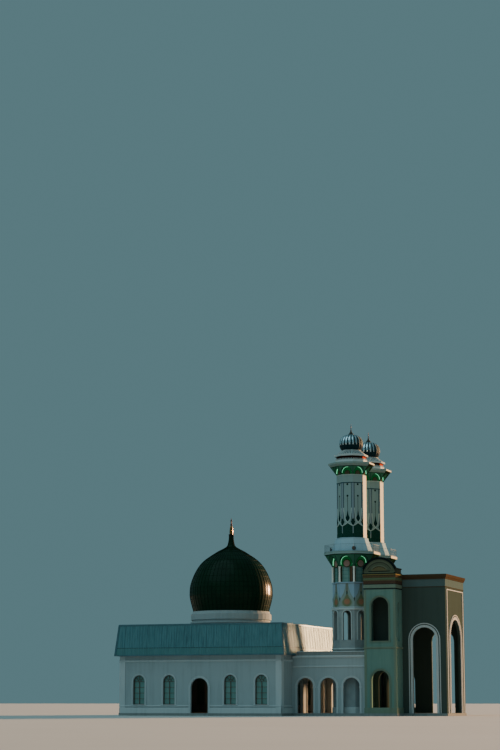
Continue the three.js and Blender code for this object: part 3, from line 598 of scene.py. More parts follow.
# Vestibule between the hall and the minarets.
# Rendered walls with three arches a side under a low parapet, with run surrounds and a coping.
VESTIBULE_START, VESTIBULE_END = 10.3, 19.3
ARCADE_STEP, ARCADE_HALF, ARCADE_SPRING = 2.85, 1.0, 3.4
IMPOST_HALF = 0.16
COURSE_START, COPING_START = VESTIBULE_START + 0.1, 10.95
VESTIBULE_COURSES = (
    (COURSE_START, section(5.6, 5.8, (0.04, 5.6), (0.09, 5.68), (0.09, 5.76))),
    (COURSE_START, section(6.7, 7.0, (0.05, 6.7), (0.14, 6.84), (0.14, 6.96))),
    (COPING_START, [(-0.19, 7.4), (0.05, 7.4), (0.05, 7.46), (-0.07, 7.5), (-0.19, 7.46)]))
vestibule = Work(moulding)
for turn, flip in ((0, 1), (2, -1)):
    vestibule.face((0, 0), turn, 4)
    for step in (-1, 0, 1):
        x = flip * ((VESTIBULE_START + VESTIBULE_END) / 2) + step * ARCADE_STEP
        surround(vestibule, x, VESTIBULE_HALF, ARCADE_HALF, FLOOR_Z, ARCADE_SPRING, 0.2)
        for side in (-1, 1):
            vestibule.board(x + side * (ARCADE_HALF + 0.12), IMPOST_HALF, VESTIBULE_HALF - SET_IN,
                            VESTIBULE_HALF + 0.1, ARCADE_SPRING - 0.16, ARCADE_SPRING)
    for start, profile in VESTIBULE_COURSES:
        line = [(end, -VESTIBULE_HALF) for end in sorted((flip * start, flip * VESTIBULE_END))]
        vestibule.sweep(line, profile, closed=False)
vestibule.piece("vestibule_mouldings", slot="wall_render")


# Entrance block.
# Plain rendered walls with tall arches, which carry a dark moulded cornice around a flat roof.
def trim_paint(name, colour, worn, streaks=0.4):
    """Paint on small run or cut parts, with a finer grain than on a wall."""
    return render_finish(name + "_paint", colour, worn, streaks, 30.0)


BLOCK_HALF = 4.3
BLOCK_END, CORNICE_START = 28.5, 23.34
BLOCK_ARCH_SPRING = 8.8
SIDE_ARCH_X, SIDE_ARCH_HALF, FRONT_ARCH_HALF = 25.9, 1.4, 2.4
SIDE_SURROUNDS = ((SIDE_ARCH_HALF, 0.25), (SIDE_ARCH_HALF + 0.4, 0.08))
FRONT_SURROUNDS = ((FRONT_ARCH_HALF, 0.3), (FRONT_ARCH_HALF + 0.45, 0.1))
FRONT_FRAME_HALF, FRONT_FRAME_TOP = 3.7, 14.6
# Grey-green render, painted darker as shade.
shaded_wing_paint = render_finish("shaded_wing_paint", "46544f", "343f3b", 0.3)
dress(shaded_wing_paint, *both("block_wall"), "front_block_wall", "back_block_wall")
brown_paint = trim_paint("brown_cornice", "61523e", "403626")
cornice_paint = trim_paint("block_cornice", "4d4233", "383023")
upper_wing = render_finish("upper_wing_paint", "566a6a", "40504f", 0.3)
dress(cornice_paint, "block_roof")
cornice_line = [(CORNICE_START, -BLOCK_HALF), (BLOCK_END, -BLOCK_HALF), (BLOCK_END, BLOCK_HALF),
                (CORNICE_START, BLOCK_HALF)]
BLOCK_BELTS = (
    (section(14.86, 14.94, (0.03, 14.87), (0.03, 14.93)), cornice_paint),
    (section(14.94, 15.8, (0.008, 14.94), (0.008, 15.8)), upper_wing),
    (section(15.8, 16.0, (0.05, 15.8), (0.08, 15.86), (0.08, 15.92), (0.12, 15.98), (0.12, 16.0)),
     cornice_paint),
    ([(0.1, 16.06), (0.17, 16.06), (0.19, 16.12), (0.19, 16.2), (0.22, 16.26), (0.22, 16.36), (0.1, 16.38)],
     cornice_paint))
block = Work(cornice_paint)
for profile, look in BLOCK_BELTS:
    block.sweep(cornice_line, profile, look, False)
for turn, x, out, arches in (
        (0, SIDE_ARCH_X, BLOCK_HALF, SIDE_SURROUNDS), (2, -SIDE_ARCH_X, BLOCK_HALF, SIDE_SURROUNDS),
        (1, 0, BLOCK_END, FRONT_SURROUNDS)):
    block.face((0, 0), turn, 4)
    for half, width in arches:
        surround(block, x, out, half, FLOOR_Z, BLOCK_ARCH_SPRING, width, moulding)
block.ribbon([(FRONT_FRAME_HALF, FLOOR_Z), (FRONT_FRAME_HALF, FRONT_FRAME_TOP),
              (-FRONT_FRAME_HALF, FRONT_FRAME_TOP), (-FRONT_FRAME_HALF, FLOOR_Z)],
             0.12, BLOCK_END - SET_IN, BLOCK_END + 0.07, moulding)
block.piece("block_mouldings", slot="brown_moulding")


# Side porches.
# A greenish rendered wall under bands of light, red-brown and green paint and a dark cornice. On the
# south an arched pediment stands over it with flat rings run in coloured render, on the north a level
# parapet. Dark sheet covers the copings.
PORCH_START, PORCH_END = 19.39, 23.23
PORCH_FRONT = 7.0
PORCH_MIDDLE = (PORCH_START + PORCH_END) / 2
PORCH_ARCH_HALF, PORCH_WINDOW_FOOT, PORCH_WINDOW_SPRING, PORCH_DOOR_SPRING = 1.05, 8.6, 12.62, 4.15
PORCH_PLINTH = section(FLOOR_Z, 0.95, (0.06, FLOOR_Z), (0.06, 0.9))
PORCH_COURSE = section(7.7, 7.95, (0.04, 7.7), (0.1, 7.8), (0.1, 7.9))
PEDIMENT_RADIUS = 2.1512
PEDIMENT_CENTRE = 18.228 - PEDIMENT_RADIUS
CORNER_STRIP_HALF, CORNER_STRIP_FOOT, CORNER_STRIP_TOP = 0.14, 0.9, 14.5
PARAPET_FOOT_Z, COPING_DEPTH, COPING_PROUD, COPING_BACK = 16.56, 0.17, 0.1, 0.22
porch_paint = render_finish("porch_paint", "709288", "496a63", 0.4)
light_band = render_finish("light_band_paint", "788a7a", "596a5d")
redbrown_band = render_finish("redbrown_band_paint", "57453a", "3d3028")
green_band = render_finish("green_band_paint", "62745a", "485844")
dark_coping = two_tone("dark_coping_sheet", "1f2d30", "141f22", 1.8, Roughness=0.9, Specular_IOR_Level=MATT)
gold_line = two_tone("gold_line_paint", "968a58", "756a42", 3.0, Roughness=0.8, Specular_IOR_Level=MATT)
tympanum = render_finish("tympanum_paint", "5a6250", "454c3e", 0.5)
ring_paint = render_finish("ring_paint", "69725e", "525a4a", 0.4)
olive_paint = render_finish("olive_paint", "6e684c", "524e38", 0.4)
dress(porch_paint, *both("porch_walls"))
dress(dark_coping, *both("porch_roof"))
# Foot, head, reach and finish of each belt, from the lowest up.
PORCH_BELTS = (
    (14.58, 14.70, 0.05, dark_coping), (14.70, 15.14, 0.03, light_band), (15.14, 15.19, 0.05, dark_coping),
    (15.19, 15.56, 0.035, redbrown_band), (15.56, 15.67, 0.05, olive_paint), (15.67, 15.90, 0.04, green_band),
    (15.90, 15.95, 0.05, olive_paint), (15.95, 16.15, 0.07, brown_paint), (16.16, 16.24, 0.1, brown_paint),
    (16.24, 16.34, 0.115, gold_line), (16.36, 16.43, 0.12, dark_coping))
# Radius, half width, relief and finish of each ring of the pediment.
PEDIMENT_RINGS = ((1.78, 0.05, 0.035, ring_paint), (1.62, 0.02, 0.028, dark_coping),
                  (1.26, 0.07, 0.04, ring_paint), (1.12, 0.02, 0.036, dark_coping))


def arc(radius, low, steps=24):
    """Arc of the pediment's rings, which starts and ends at a level."""
    start = math.asin((low - PEDIMENT_CENTRE) / radius)
    angles = [start + (math.pi - 2 * start) * k / steps for k in range(steps + 1)]
    return [(PORCH_MIDDLE + radius * math.cos(a), PEDIMENT_CENTRE + radius * math.sin(a)) for a in angles]


for side, mirror, head in (("south", 1, 17.047), ("north", -1, 16.92)):
    porch = Work(light_band)
    porch.place = Matrix.Scale(mirror, 4, Vector((0, 1, 0)))
    plan = [(PORCH_START, -BLOCK_HALF), (PORCH_START, -PORCH_FRONT), (PORCH_END, -PORCH_FRONT),
            (PORCH_END, -BLOCK_HALF)]
    for low, high, reach, look in PORCH_BELTS:
        porch.sweep(plan, section(low, high, (reach, low + 0.01), (reach, high - 0.01)), look, False)
    for profile in (PORCH_PLINTH, PORCH_COURSE):
        porch.sweep(plan, profile, closed=False)
    front, middle, reach = PORCH_FRONT, PORCH_MIDDLE, PORCH_END - PORCH_MIDDLE
    for x in (PORCH_START + CORNER_STRIP_HALF, PORCH_END - CORNER_STRIP_HALF):
        porch.board(x, CORNER_STRIP_HALF, front - SET_IN, front + 0.035,
                    CORNER_STRIP_FOOT, CORNER_STRIP_TOP)
    surround(porch, middle, front, PORCH_ARCH_HALF, PORCH_WINDOW_FOOT, PORCH_WINDOW_SPRING, 0.16)
    surround(porch, middle, front, PORCH_ARCH_HALF, FLOOR_Z, PORCH_DOOR_SPRING, 0.2)
    porch.board(middle, PORCH_ARCH_HALF + 0.25, front - SET_IN, front + 0.12,
                PORCH_WINDOW_FOOT - 0.1, PORCH_WINDOW_FOOT)
    panel_top, sheet_top = head - COPING_DEPTH, head + 0.015
    if side == "south":
        sheet_start = -front - COPING_PROUD
        porch.plate(arc(1.99, 16.52), front - 0.005, front + 0.012, tympanum)
        porch.plate(arc(1.18, 16.52), front, front + 0.022, olive_paint)
        for radius, half, proud, look in PEDIMENT_RINGS:
            porch.ribbon(arc(radius, 16.9), half, front - 0.01, front + proud, look)
        for low, high, half, look in ((16.45, 16.58, reach - 0.12, ring_paint),
                                      (16.61, 16.7, 1.3, dark_coping)):
            porch.board(middle, half, front - 0.01, front + 0.05, low, high, look)
        for radius in (PEDIMENT_RADIUS - 0.07, PEDIMENT_RADIUS + 0.08):
            porch.ribbon(arc(radius, 17.06), 0.018, front + 0.06, front + 0.115, dark_coping)
    else:
        sheet_start = -front + COPING_BACK
        porch.board(middle, reach - 0.3, front - 0.01, front + 0.035, PARAPET_FOOT_Z, panel_top,
                    olive_paint)
        porch.board(middle, reach + COPING_PROUD, -sheet_start, front + COPING_PROUD,
                    head - 0.002, sheet_top, dark_coping)
    for x, hand in ((PORCH_START, -1), (PORCH_END, 1)):
        left, right = sorted((x + hand * 0.035, x - hand * 0.01))
        porch.block((left, -front + 0.35, PARAPET_FOOT_Z), (right, -BLOCK_HALF - 0.3, panel_top), dark_coping)
        left, right = sorted((x + hand * COPING_PROUD, x - hand * COPING_BACK))
        porch.block((left, sheet_start, head - 0.002), (right, -BLOCK_HALF - 0.16, sheet_top), dark_coping)
    porch.piece(side + "_porch_mouldings", slot="brown_moulding")


# Minaret bases.
# Octagonal rendered towers with arched openings under a ledge. Over the ledge each face has a
# painted drop on a dark stem, and blue pointed fields hang over the corners with a dart under each.
MINARETS = (("south", (16.94, -3.58)), ("north", (16.94, 3.58)))
TURNS = range(8)
TAN = math.tan(math.pi / 8)
BASE_REACH, STAGE_REACH = 2.25, 2.167
LEDGE_PROFILE = section(12.3, 12.7, (0.17, 12.33), (0.2, 12.4), (0.2, 12.52), (0.13, 12.58), (0.1, 12.66))
BASE_PROFILES = (section(FLOOR_Z, 1.0, (0.08, FLOOR_Z), (0.08, 0.95)),
                 section(7.6, 7.86, (0.05, 7.6), (0.12, 7.72), (0.12, 7.82)))
LEDGE_PAINT_Z = 12.63
ORNAMENT_TOP_Z = 15.4
DROP_WAIST_Z, DROP_EDGE = 13.3, 1.22
DROP = [(0, 14.3), (0.12, 14.02), (0.3, 13.72), (0.56, DROP_WAIST_Z), (0.5, 12.98), (0.24, 12.76), (0, 12.7)]
DROP_SPEAR = [(0.02, 14.52), (0.075, 14.4), (0.07, 14.26), (0.02, 14.1)]
FIELD = [(0, ORNAMENT_TOP_Z), (0.74, ORNAMENT_TOP_Z), (0.68, 14.95), (0.5, 14.35), (0.22, 13.86), (0, 13.62)]
FIELD_EDGE = [(0.77, ORNAMENT_TOP_Z), (0.72, 14.92), (0.54, 14.3), (0.25, 13.8)]
DART = [(0, 13.9), (0.07, 13.62), (0, 13.3)]
DROP_DISC_Z, DROP_DISC = 13.28, [(0.02, 0.034), (0.24, 0.034), (0.34, 0.026), (0.35, 0)]
BASE_ARCH_HALF, BASE_ARCH_FOOT, BASE_ARCH_SPRING, BASE_DOOR_SPRING = 0.5, 8.8, 11.75, 2.2
ornament_wall = Finish("ornament_wall_paint", Specular_IOR_Level=MATT)
stains = ornament_wall.noise(0.9, 4.0)
upper = ornament_wall.mix(stains, hue("a0b2ae"), hue("7f928f"))
lower = ornament_wall.mix(stains, hue("a9b4b6"), hue("7c898b"))
ornament_wall.feed("Base Color", ornament_wall.mix(ornament_wall.height() > LEDGE_PAINT_Z, lower, upper))
ornament_wall.feed("Roughness", 0.62 + stains * 0.25)
ornament_wall.bump(ornament_wall.noise(24.0, 5.0), 0.2, 0.008)
dress(ornament_wall, *both("minaret_base", "minaret_foot"))
dark_green = trim_paint("dark_green", "1b4237", "102c24", 0.5)
drop_green = trim_paint("drop_green", "7b8266", "61684e", 0.5)
drop_brown = trim_paint("drop_brown", "a87c62", "835e4a", 0.5)
white_trim = render_finish("white_trim_paint", "c6d0d0", "9aa7a9", 0.3, 40.0)
field_blue = trim_paint("field_blue", "97b4c6", "7695aa")
soft_green = trim_paint("soft_green", "8b9f90", "6d8175")
stem_olive = trim_paint("stem_olive", "746c50", "554e3a")


def octagon(centre, apothem):
    """Plan corners of an octagon with a flat side facing -Y."""
    radius = apothem / math.cos(math.pi / 8)
    return [(centre[0] + radius * math.cos(math.pi * (2 * k + 1) / 8),
             centre[1] + radius * math.sin(math.pi * (2 * k + 1) / 8)) for k in TURNS]


def mirrored(half):
    """Outline from its right half, in which a point on the middle line stays single."""
    return half + [(-x, z) for x, z in reversed(half) if x]


def inward(edge, hand, points):
    """Points given by how far in from one edge of a face they lie, and their heights."""
    return [(edge - hand * across, z) for across, z in points]


for side, centre in MINARETS:
    ornament = Work(white_trim)
    ornament.sweep(octagon(centre, STAGE_REACH), LEDGE_PROFILE)
    for profile in BASE_PROFILES:
        ornament.sweep(octagon(centre, BASE_REACH), profile)
    out = STAGE_REACH
    for turn in TURNS:
        ornament.face(centre, turn)
        for share, proud, look in ((DROP_EDGE, 0.012, soft_green), (1.0, 0.022, drop_green)):
            half = [(x * share, DROP_WAIST_Z + (z - DROP_WAIST_Z) * share) for x, z in smooth_line(DROP, 4)]
            ornament.plate(mirrored(half), out - 0.01, out + proud, look)
        ornament.boss(0, DROP_DISC_Z, out, DROP_DISC, 24, drop_brown)
        for x in (-0.075, 0.075):
            ornament.ribbon([(x, 15.42), (x * 0.7, 14.42)], 0.03, out - 0.01, out + 0.015, stem_olive)
        ornament.plate(mirrored(DROP_SPEAR), out - 0.01, out + 0.03, dark_green)
        for hand in (-1, 1):
            corner = hand * out * TAN
            ornament.plate(inward(corner, hand, FIELD), out - 0.01, out + 0.014, field_blue)
            ornament.plate(inward(corner, hand, DART), out, out + 0.024, dark_green)
            ornament.ribbon(inward(corner, hand, FIELD_EDGE), 0.024, out - 0.01, out + 0.02, soft_green)
        surround(ornament, 0, BASE_REACH, BASE_ARCH_HALF, BASE_ARCH_FOOT, BASE_ARCH_SPRING, 0.1)
    ornament.face(centre, 4 if side == "south" else 0)
    surround(ornament, 0, BASE_REACH, BASE_ARCH_HALF, FLOOR_Z, BASE_DOOR_SPRING, 0.12)
    ornament.piece(side + "_base_ornament")


# Window stages of the minarets.
# Slim pale columns stand at the corners of each lantern, before a wall painted near-black as the deep shade
# behind them. Each side has a tall teal pane between olive and brown jambs, with slim bars, and runs up into
# the arched niche over it.
STAGE_FOOT, STAGE_HEAD = 15.6, 17.44
SILL_REACH = 2.24
PANE_OUT, PANE_LEFT, PANE_RIGHT = 2.04, -0.58, 0.3
PANE_BACK = 0.005 - PANE_OUT
BAR_PLACES, BAR_FOOT, BAR_HEAD = (-0.42, 0.16), 15.62, 17.4
CROSS_BAR_LEVELS = (16.06, 16.52, 16.98)
COLUMN_RING = 2.34
COLUMN = [(0.08, STAGE_FOOT), (0.15, STAGE_FOOT), (0.15, 15.66), (0.12, 15.69), (0.13, 15.72), (0.117, 15.75),
          (0.117, 16.6), (0.117, 17.22), (0.13, 17.25), (0.13, 17.28), (0.118, 17.3), (0.14, 17.38),
          (0.15, 17.41), (0.15, STAGE_HEAD), (0.08, STAGE_HEAD)]
STAGE_SILL = section(15.46, 15.605, (0.02, 15.47), (0.03, 15.5), (0.03, 15.575), (0.01, 15.605))
glass = two_tone("teal_glass", "86b0a8", "5c8883", 0.8, (0.06, 0.12, 3.0))
dress(glass, *both("window_glass", "hall_glass"), "west_hall_glass")
# The wall behind the columns is painted near-black as shade.
stage_wall = trim_paint("stage_wall", "363b36", "262a27")
jamb_brown = trim_paint("jamb_brown", "66513f", "4c3b30")
jamb_olive = trim_paint("jamb_olive", "55644a", "414e3a")
bar_teal = trim_paint("bar_teal", "3f6c69", "2f5452")
column_paint = trim_paint("column", "fafaf0", "d4d8cc", 0.3)
dress(stage_wall, *both("window_stage"))
# Left and right edge, relief and finish of each upright strip beside a pane.
STAGE_STRIPS = ((-0.84, PANE_LEFT, 0.006, stage_wall), (-0.64, PANE_LEFT, 0.05, jamb_olive),
                (PANE_RIGHT, 0.84, 0.006, stage_wall), (PANE_RIGHT, 0.36, 0.05, jamb_olive),
                (0.42, 0.66, 0.025, jamb_brown))
for side, centre in MINARETS:
    stage = Work(column_paint)
    for x, y in octagon(centre, COLUMN_RING * math.cos(math.pi / 8)):
        stage.place = Matrix.Translation((x, y, 0))
        stage.turned(COLUMN, 20)
    for turn in TURNS:
        stage.face(centre, turn)
        for left, right, proud, look in STAGE_STRIPS:
            stage.block((left, -PANE_OUT - proud, STAGE_FOOT), (right, PANE_BACK, STAGE_HEAD), look)
        for x in BAR_PLACES:
            stage.block((x - 0.016, -PANE_OUT - 0.02, BAR_FOOT), (x + 0.016, PANE_BACK, BAR_HEAD), bar_teal)
        for z in CROSS_BAR_LEVELS:
            stage.block((PANE_LEFT, -PANE_OUT - 0.015, z - 0.014), (PANE_RIGHT, PANE_BACK, z + 0.014),
                        bar_teal)
    stage.place = Matrix.Identity(4)
    stage.sweep(octagon(centre, SILL_REACH), STAGE_SILL, field_blue)
    stage.piece(side + "_stage_trim", sharp=40)


# Galleries of the minarets.
# Octagonal flares of dark green render carry the walkway slabs. Their green is partly the glow of the light
# strips painted in, and they are painted near-black as shade on the east, where the slabs have a cream face
# painted as sunlight. Each side has an arched niche with a strip of mint-green light in its reveal, a painted
# green glow on its back and a round medallion.
EAST_FACING = 0.73
STRIP_START, STRIP_DEPTH = 0.2, 0.11
SUNLIT_TURN = 2
NICHE_STEPS = 20
SHAFT_REACH = 1.64


def flare_finish(name, slab_start, east_shade_rise):
    """Green flare, its green partly the strips' glow painted in, near-black on the east as painted shade,
    under a grey slab edge that starts higher on the east.
    """
    made = Finish(name, Specular_IOR_Level=MATT)
    wear = made.noise(1.2, 4.0)
    # East faces get near-black green as painted shade, which there also reaches further up before the grey
    # slab edge.
    east_shade_mask = made.east() > EAST_FACING
    green = made.mix(east_shade_mask, made.mix(wear, hue("458068"), hue("326652")), hue("14211a"))
    slab = made.mix(wear, hue("8ea6a2"), hue("6f8886"))
    made.feed("Base Color", made.mix(made.height() > slab_start + east_shade_mask * east_shade_rise, green, slab))
    made.feed("Roughness", 0.5 + wear * 0.3)
    made.bump(made.noise(26.0, 5.0), 0.2, 0.008)
    return made


neon = Finish("mint_light_strip", Base_Color=hue("6fd0a0"), Roughness=0.4, Emission_Strength=1.1)
neon.feed("Emission Color", neon.mix(neon.noise(2.0), hue("86e6b4"), hue("62c896")))
medallion = trim_paint("medallion", "a58a80", "7d6a62")
# The back of each niche is painted green and glows faintly: painted light from the strip in its reveal,
# though it is no lamp.
niche_green = trim_paint("niche_green", "1a5f3a", "0f4228")
niche_green.feed("Emission Color", niche_green.mix(niche_green.noise(2.0), hue("1d6a30"), hue("124a22")))
niche_green.feed("Emission Strength", 0.25)
dress(flare_finish("lower_flare_glow_and_shade", 18.87, 0.02), *both("lower_gallery"))
dress(flare_finish("upper_flare_glow_and_shade", 29.455, 0.26), *both("upper_gallery"))
olive_disc = trim_paint("olive_disc", "5d5a48", "464638")
niche_dark = trim_paint("niche_dark", "2e3a2a", "212a20")
slab_grey = trim_paint("slab_grey", "8ea6a2", "6f8886")
# Cream on the east faces of the shafts and slabs is painted sunlight, lighter than the paint on the other
# faces.
cream = trim_paint("cream", "f2eed6", "e2dcc0", 0.25)
LOWER = {"foot": 17.444, "top": 18.85, "near": STAGE_REACH, "far": 2.995, "half": 0.72, "spring": 17.96,
         "rise": 0.72, "back": 2.127, "level": 17.8, "disc": 0.34, "disc_look": medallion}
LOWER_LIP = section(18.8, 18.88, (0.03, 18.82), (0.03, 18.85), (0.07, 18.88))
LOWER_SLAB, LOWER_FACE = 3.098, (18.91, 19.19)
LOWER_EDGE = section(18.895, 19.21, (0.025, 18.9), (0.025, 18.95), (0.012, 18.97), (0.012, 19.12),
                     (0.03, 19.14), (0.03, 19.19))
UPPER = {"foot": 28.493, "top": 29.45, "near": SHAFT_REACH, "far": 2.33, "half": 0.64, "spring": 28.707,
         "rise": 0.69, "back": 1.6, "level": 28.66, "disc": 0.24, "disc_look": olive_disc}
UPPER_LIP = section(29.4, 29.46, (0.025, 29.42), (0.025, 29.455))
UPPER_SLAB, UPPER_FACE = 2.568, (29.73, 29.91)
UPPER_EDGE = section(29.71, 29.93, (0.015, 29.72), (0.02, 29.75), (0.012, 29.77), (0.012, 29.84),
                     (0.03, 29.86), (0.03, 29.91))
GALLERIES = (("lower", LOWER, LOWER_LIP, LOWER_SLAB, LOWER_EDGE, LOWER_FACE),
             ("upper", UPPER, UPPER_LIP, UPPER_SLAB, UPPER_EDGE, UPPER_FACE))


def niches(work, centre, foot, top, near, far, half, spring, rise, back, level, disc, disc_look):
    """Light strips, moulded arches and medallions on the sides of one flare."""
    def flare(z):
        return near + (far - near) * (z - foot) / (top - foot)

    def niche(start, change):
        return arch_line(half + change, foot + start, spring, rise + change, NICHE_STEPS)

    for turn in TURNS:
        work.face(centre, turn)
        work.ribbon(niche(0.02, 0.03), 0.02, lambda z: flare(z) - 0.02, lambda z: flare(z) + 0.02, dark_green)
        work.ribbon(niche(STRIP_START, -0.02), 0.014, lambda z: back + 0.02,
                    lambda z: min(back + STRIP_DEPTH, flare(z) - 0.02), neon)
        work.plate(niche(0.02, -0.02), back - 0.01, back + 0.012, niche_green)
        work.boss(0, level, back, [(0.01, 0.05), (disc, 0.045), (disc * 1.04, 0.06), (disc * 1.1, 0.06),
                                   (disc * 1.14, 0.01)], 28, disc_look)
        work.boss(0, level, back, [(disc * 1.1, 0), (disc * 1.12, 0.035), (disc * 1.38, 0.035),
                                   (disc * 1.4, 0)], 28, niche_dark)
        for c, s in ring(8):
            work.boss(disc * 0.6 * c, level + disc * 0.6 * s, back,
                      [(0.01, 0.075), (disc * 0.16, 0.065), (disc * 0.2, 0.04)], 10, disc_look)
        for hand in (-1, 1):
            low, high = [(hand * out * TAN, -out, z) for z, out in ((foot, near), (top, far))]
            work.bar(low, high, 0.02, 8, dark_green)


for side, centre in MINARETS:
    for name, sizes, lip, slab, edge, (low, high) in GALLERIES:
        gallery = Work(slab_grey)
        niches(gallery, centre, **sizes)
        gallery.place = Matrix.Identity(4)
        gallery.sweep(octagon(centre, sizes["far"]), lip, dark_green)
        gallery.sweep(octagon(centre, slab), edge)
        gallery.face(centre, SUNLIT_TURN)
        gallery.board(0, (slab + 0.022) * TAN, slab + 0.002, slab + 0.034, low, high, cream)
        gallery.piece(side + "_" + name + "_gallery_trim", sharp=40)


# Railings of the lower galleries.
# Thin painted steel: two flat rails on corner posts with close bars between them.
rail_steel = two_tone("railing_steel", "73878c", "5d7076", 3.0, (0.55, 0.2, 8.0), Metallic=0.1,
                      Specular_IOR_Level=0.15)
BAR_PITCH, BAR_HALF = 0.16, 0.004
POST_HALF, FOOT_HALF = 0.014, 0.04
RAIL_REACH, RAIL_FOOT, RAIL_RISE = 3.04, 19.2, 0.86
RAIL_TOP = RAIL_FOOT + RAIL_RISE
for side, centre in MINARETS:
    rails = Work(rail_steel)
    for low, high, half in ((RAIL_FOOT + 0.06, RAIL_FOOT + 0.085, 0.01), (RAIL_TOP - 0.022, RAIL_TOP, 0.012)):
        rails.sweep(octagon(centre, RAIL_REACH), [(-half, low), (half, low), (half, high), (-half, high)])
    for turn in TURNS:
        rails.face(centre, turn)
        bars = int(RAIL_REACH * TAN / BAR_PITCH)
        for step in range(-bars, bars + 1):
            rails.board(step * BAR_PITCH, BAR_HALF, RAIL_REACH - BAR_HALF, RAIL_REACH + BAR_HALF,
                        RAIL_FOOT + 0.07, RAIL_TOP - 0.03)
        rails.face(centre, turn + 0.5)
        corner = RAIL_REACH / math.cos(math.pi / 8)
        for half, top in ((POST_HALF, RAIL_TOP + 0.02), (FOOT_HALF, RAIL_FOOT + 0.012)):
            rails.board(0, half, corner - half, corner + half, RAIL_FOOT, top)
    rails.piece(side + "_lower_rails", [side + "_lower_railing"], slot="railing_metal")


# Skirts and loudspeakers.
# A sloping skirt of pale render stands on each lower gallery. Horns of grey enamelled sheet, painted darker
# as shade and near-black inside the mouth as shade, sit on short brackets at three corners and point outward.
SLAB_Z = 19.2
SKIRT_TOP_REACH = 1.79
SKIRT_PROFILE = section(20.77, 20.905, (0.03, 20.79), (0.05, 20.83), (0.05, 20.87), (0.02, 20.905))
HORN_Z, HORN_OUT = 19.57, 2.62
HORN_CORNERS = (0, 4, 6)
skirt_paint = render_finish("skirt_paint", "aac8d4", "8ba4ae", 0.4)
dress(skirt_paint, *both("minaret_skirt"))
# Horn enamel is darkened as painted shade, and the inside of the mouth is near-black as painted shade.
horn_grey_shaded = two_tone("horn_enamel_shaded", "5d6362", "484e4e", 4.0, Roughness=0.55, Specular_IOR_Level=0.2)
horn_mouth_shade = two_tone("horn_inside_shade", "1d2a2e", "12191c", 4.0, Roughness=0.6)
# Inside, rim, bell and driver of a horn: radius and place off its mouth, then sides and finish.
HORN_PARTS = (
    ([(0.02, -0.2), (0.05, -0.18), (0.14, -0.07), (0.225, -0.004)], 28, horn_mouth_shade),
    ([(0.225, -0.01), (0.225, 0.004), (0.24, 0.006), (0.245, -0.006)], 28, horn_mouth_shade),
    ([(0.246, -0.006), (0.235, -0.02), (0.15, -0.1), (0.07, -0.2), (0.055, -0.26), (0.02, -0.26)],
     28, horn_grey_shaded),
    ([(0.02, -0.25), (0.085, -0.25), (0.09, -0.27), (0.09, -0.36), (0.07, -0.38), (0.02, -0.38)],
     20, horn_grey_shaded))
for side, centre in MINARETS:
    skirt = Work(skirt_paint)
    skirt.sweep(octagon(centre, SKIRT_TOP_REACH), SKIRT_PROFILE)
    for turn in HORN_CORNERS:
        skirt.face(centre, turn + 0.5)
        for profile, sides, look in HORN_PARTS:
            skirt.boss(0, HORN_Z, HORN_OUT, profile, sides, look)
        skirt.board(0, 0.02, HORN_OUT - 0.24, HORN_OUT - 0.2, SLAB_Z, HORN_Z - 0.04, horn_grey_shaded)
        skirt.board(0, 0.07, HORN_OUT - 0.28, HORN_OUT - 0.1, SLAB_Z, SLAB_Z + 0.012, horn_grey_shaded)
    skirt.piece(side + "_skirt_trim", sharp=35)


# Minaret shafts.
# Painted render: a tall panel on each face between dark lines, painted as the shadows at its edges, and
# bluish strips, with two dots and a spear. Pale bands cross over a dark lattice with a pointed head, between
# bluish stems.
# The east face has none of this and is plain cream, painted as sunlight.
CORNER = SHAFT_REACH * TAN
EDGE = CORNER + 0.004
SHAFT_FOOT_Z, SHAFT_HEAD_Z = 20.91, 28.4
PANEL_HALF, PANEL_FOOT_Z, PANEL_TOP_Z, STRIP_HALF = 0.49, 23.0, 27.45, 0.53
DOT_LEVELS = (27.29, 25.9)
DOT = [(0.01, 0), (0.09, 0), (0.12, -0.01), (0.12, -0.03)]
RELIEF_BACK, EDGE_BACK = 1.61, 1.63
LATTICE_BACK, LATTICE_EDGE_OUT = 1.595, 1.652
LATTICE_HALF, LATTICE_FOOT, LATTICE_SPRING, LATTICE_RISE = 0.6, SHAFT_FOOT_Z, 22.2, 0.42
LATTICE_TOP = LATTICE_SPRING + LATTICE_RISE
LATTICE_PITCH, LATTICE_SAMPLES = 0.17, 60
SPEAR = [(0.02, 24.12), (0.06, 23.9), (0.09, 23.65), (0.14, 23.5), (0.23, 23.3), (0.24, 23.17), (0.18, 23.02),
         (0.08, 22.9), (0.02, 22.84)]
CROSSING = [(PANEL_HALF, 24.45), (0.46, 24.1), (0.42, 23.7), (0.37, 23.32), (0.25, 23.0), (0, 22.7),
            (-0.35, 22.46), (-0.6, 22.33), (-0.7, 22.29)]
shaft_paint = render_finish("shaft_paint", "90aaa9", "6f8988", 0.45)
strip_paint = render_finish("strip_paint", "8499a2", "697e88")
# Dark lines painted as the shadows along the panel edges and under the top band.
shadow_line_paint = trim_paint("line", "224a54", "16373f")
spear_paint = trim_paint("spear", "143734", "0c2826")
band_paint = trim_paint("crossing_band", "b2c6c1", "8fa5a0", 0.35)
lattice_dark = trim_paint("lattice_ground", "0f352e", "0a2722")
lattice_bar = trim_paint("lattice_bar", "2b5d51", "1f483f")
dress(shaft_paint, *both("minaret_shaft"))
SHAFT_BELTS = (
    (section(27.44, 27.54, (0.018, 27.44), (0.018, 27.54)), shadow_line_paint),
    (section(27.54, SHAFT_HEAD_Z, (0.008, 27.54), (0.008, SHAFT_HEAD_Z)), shaft_paint),
    (section(SHAFT_HEAD_Z, 28.49, (0.03, SHAFT_HEAD_Z), (0.05, 28.44), (0.03, 28.49)), band_paint))
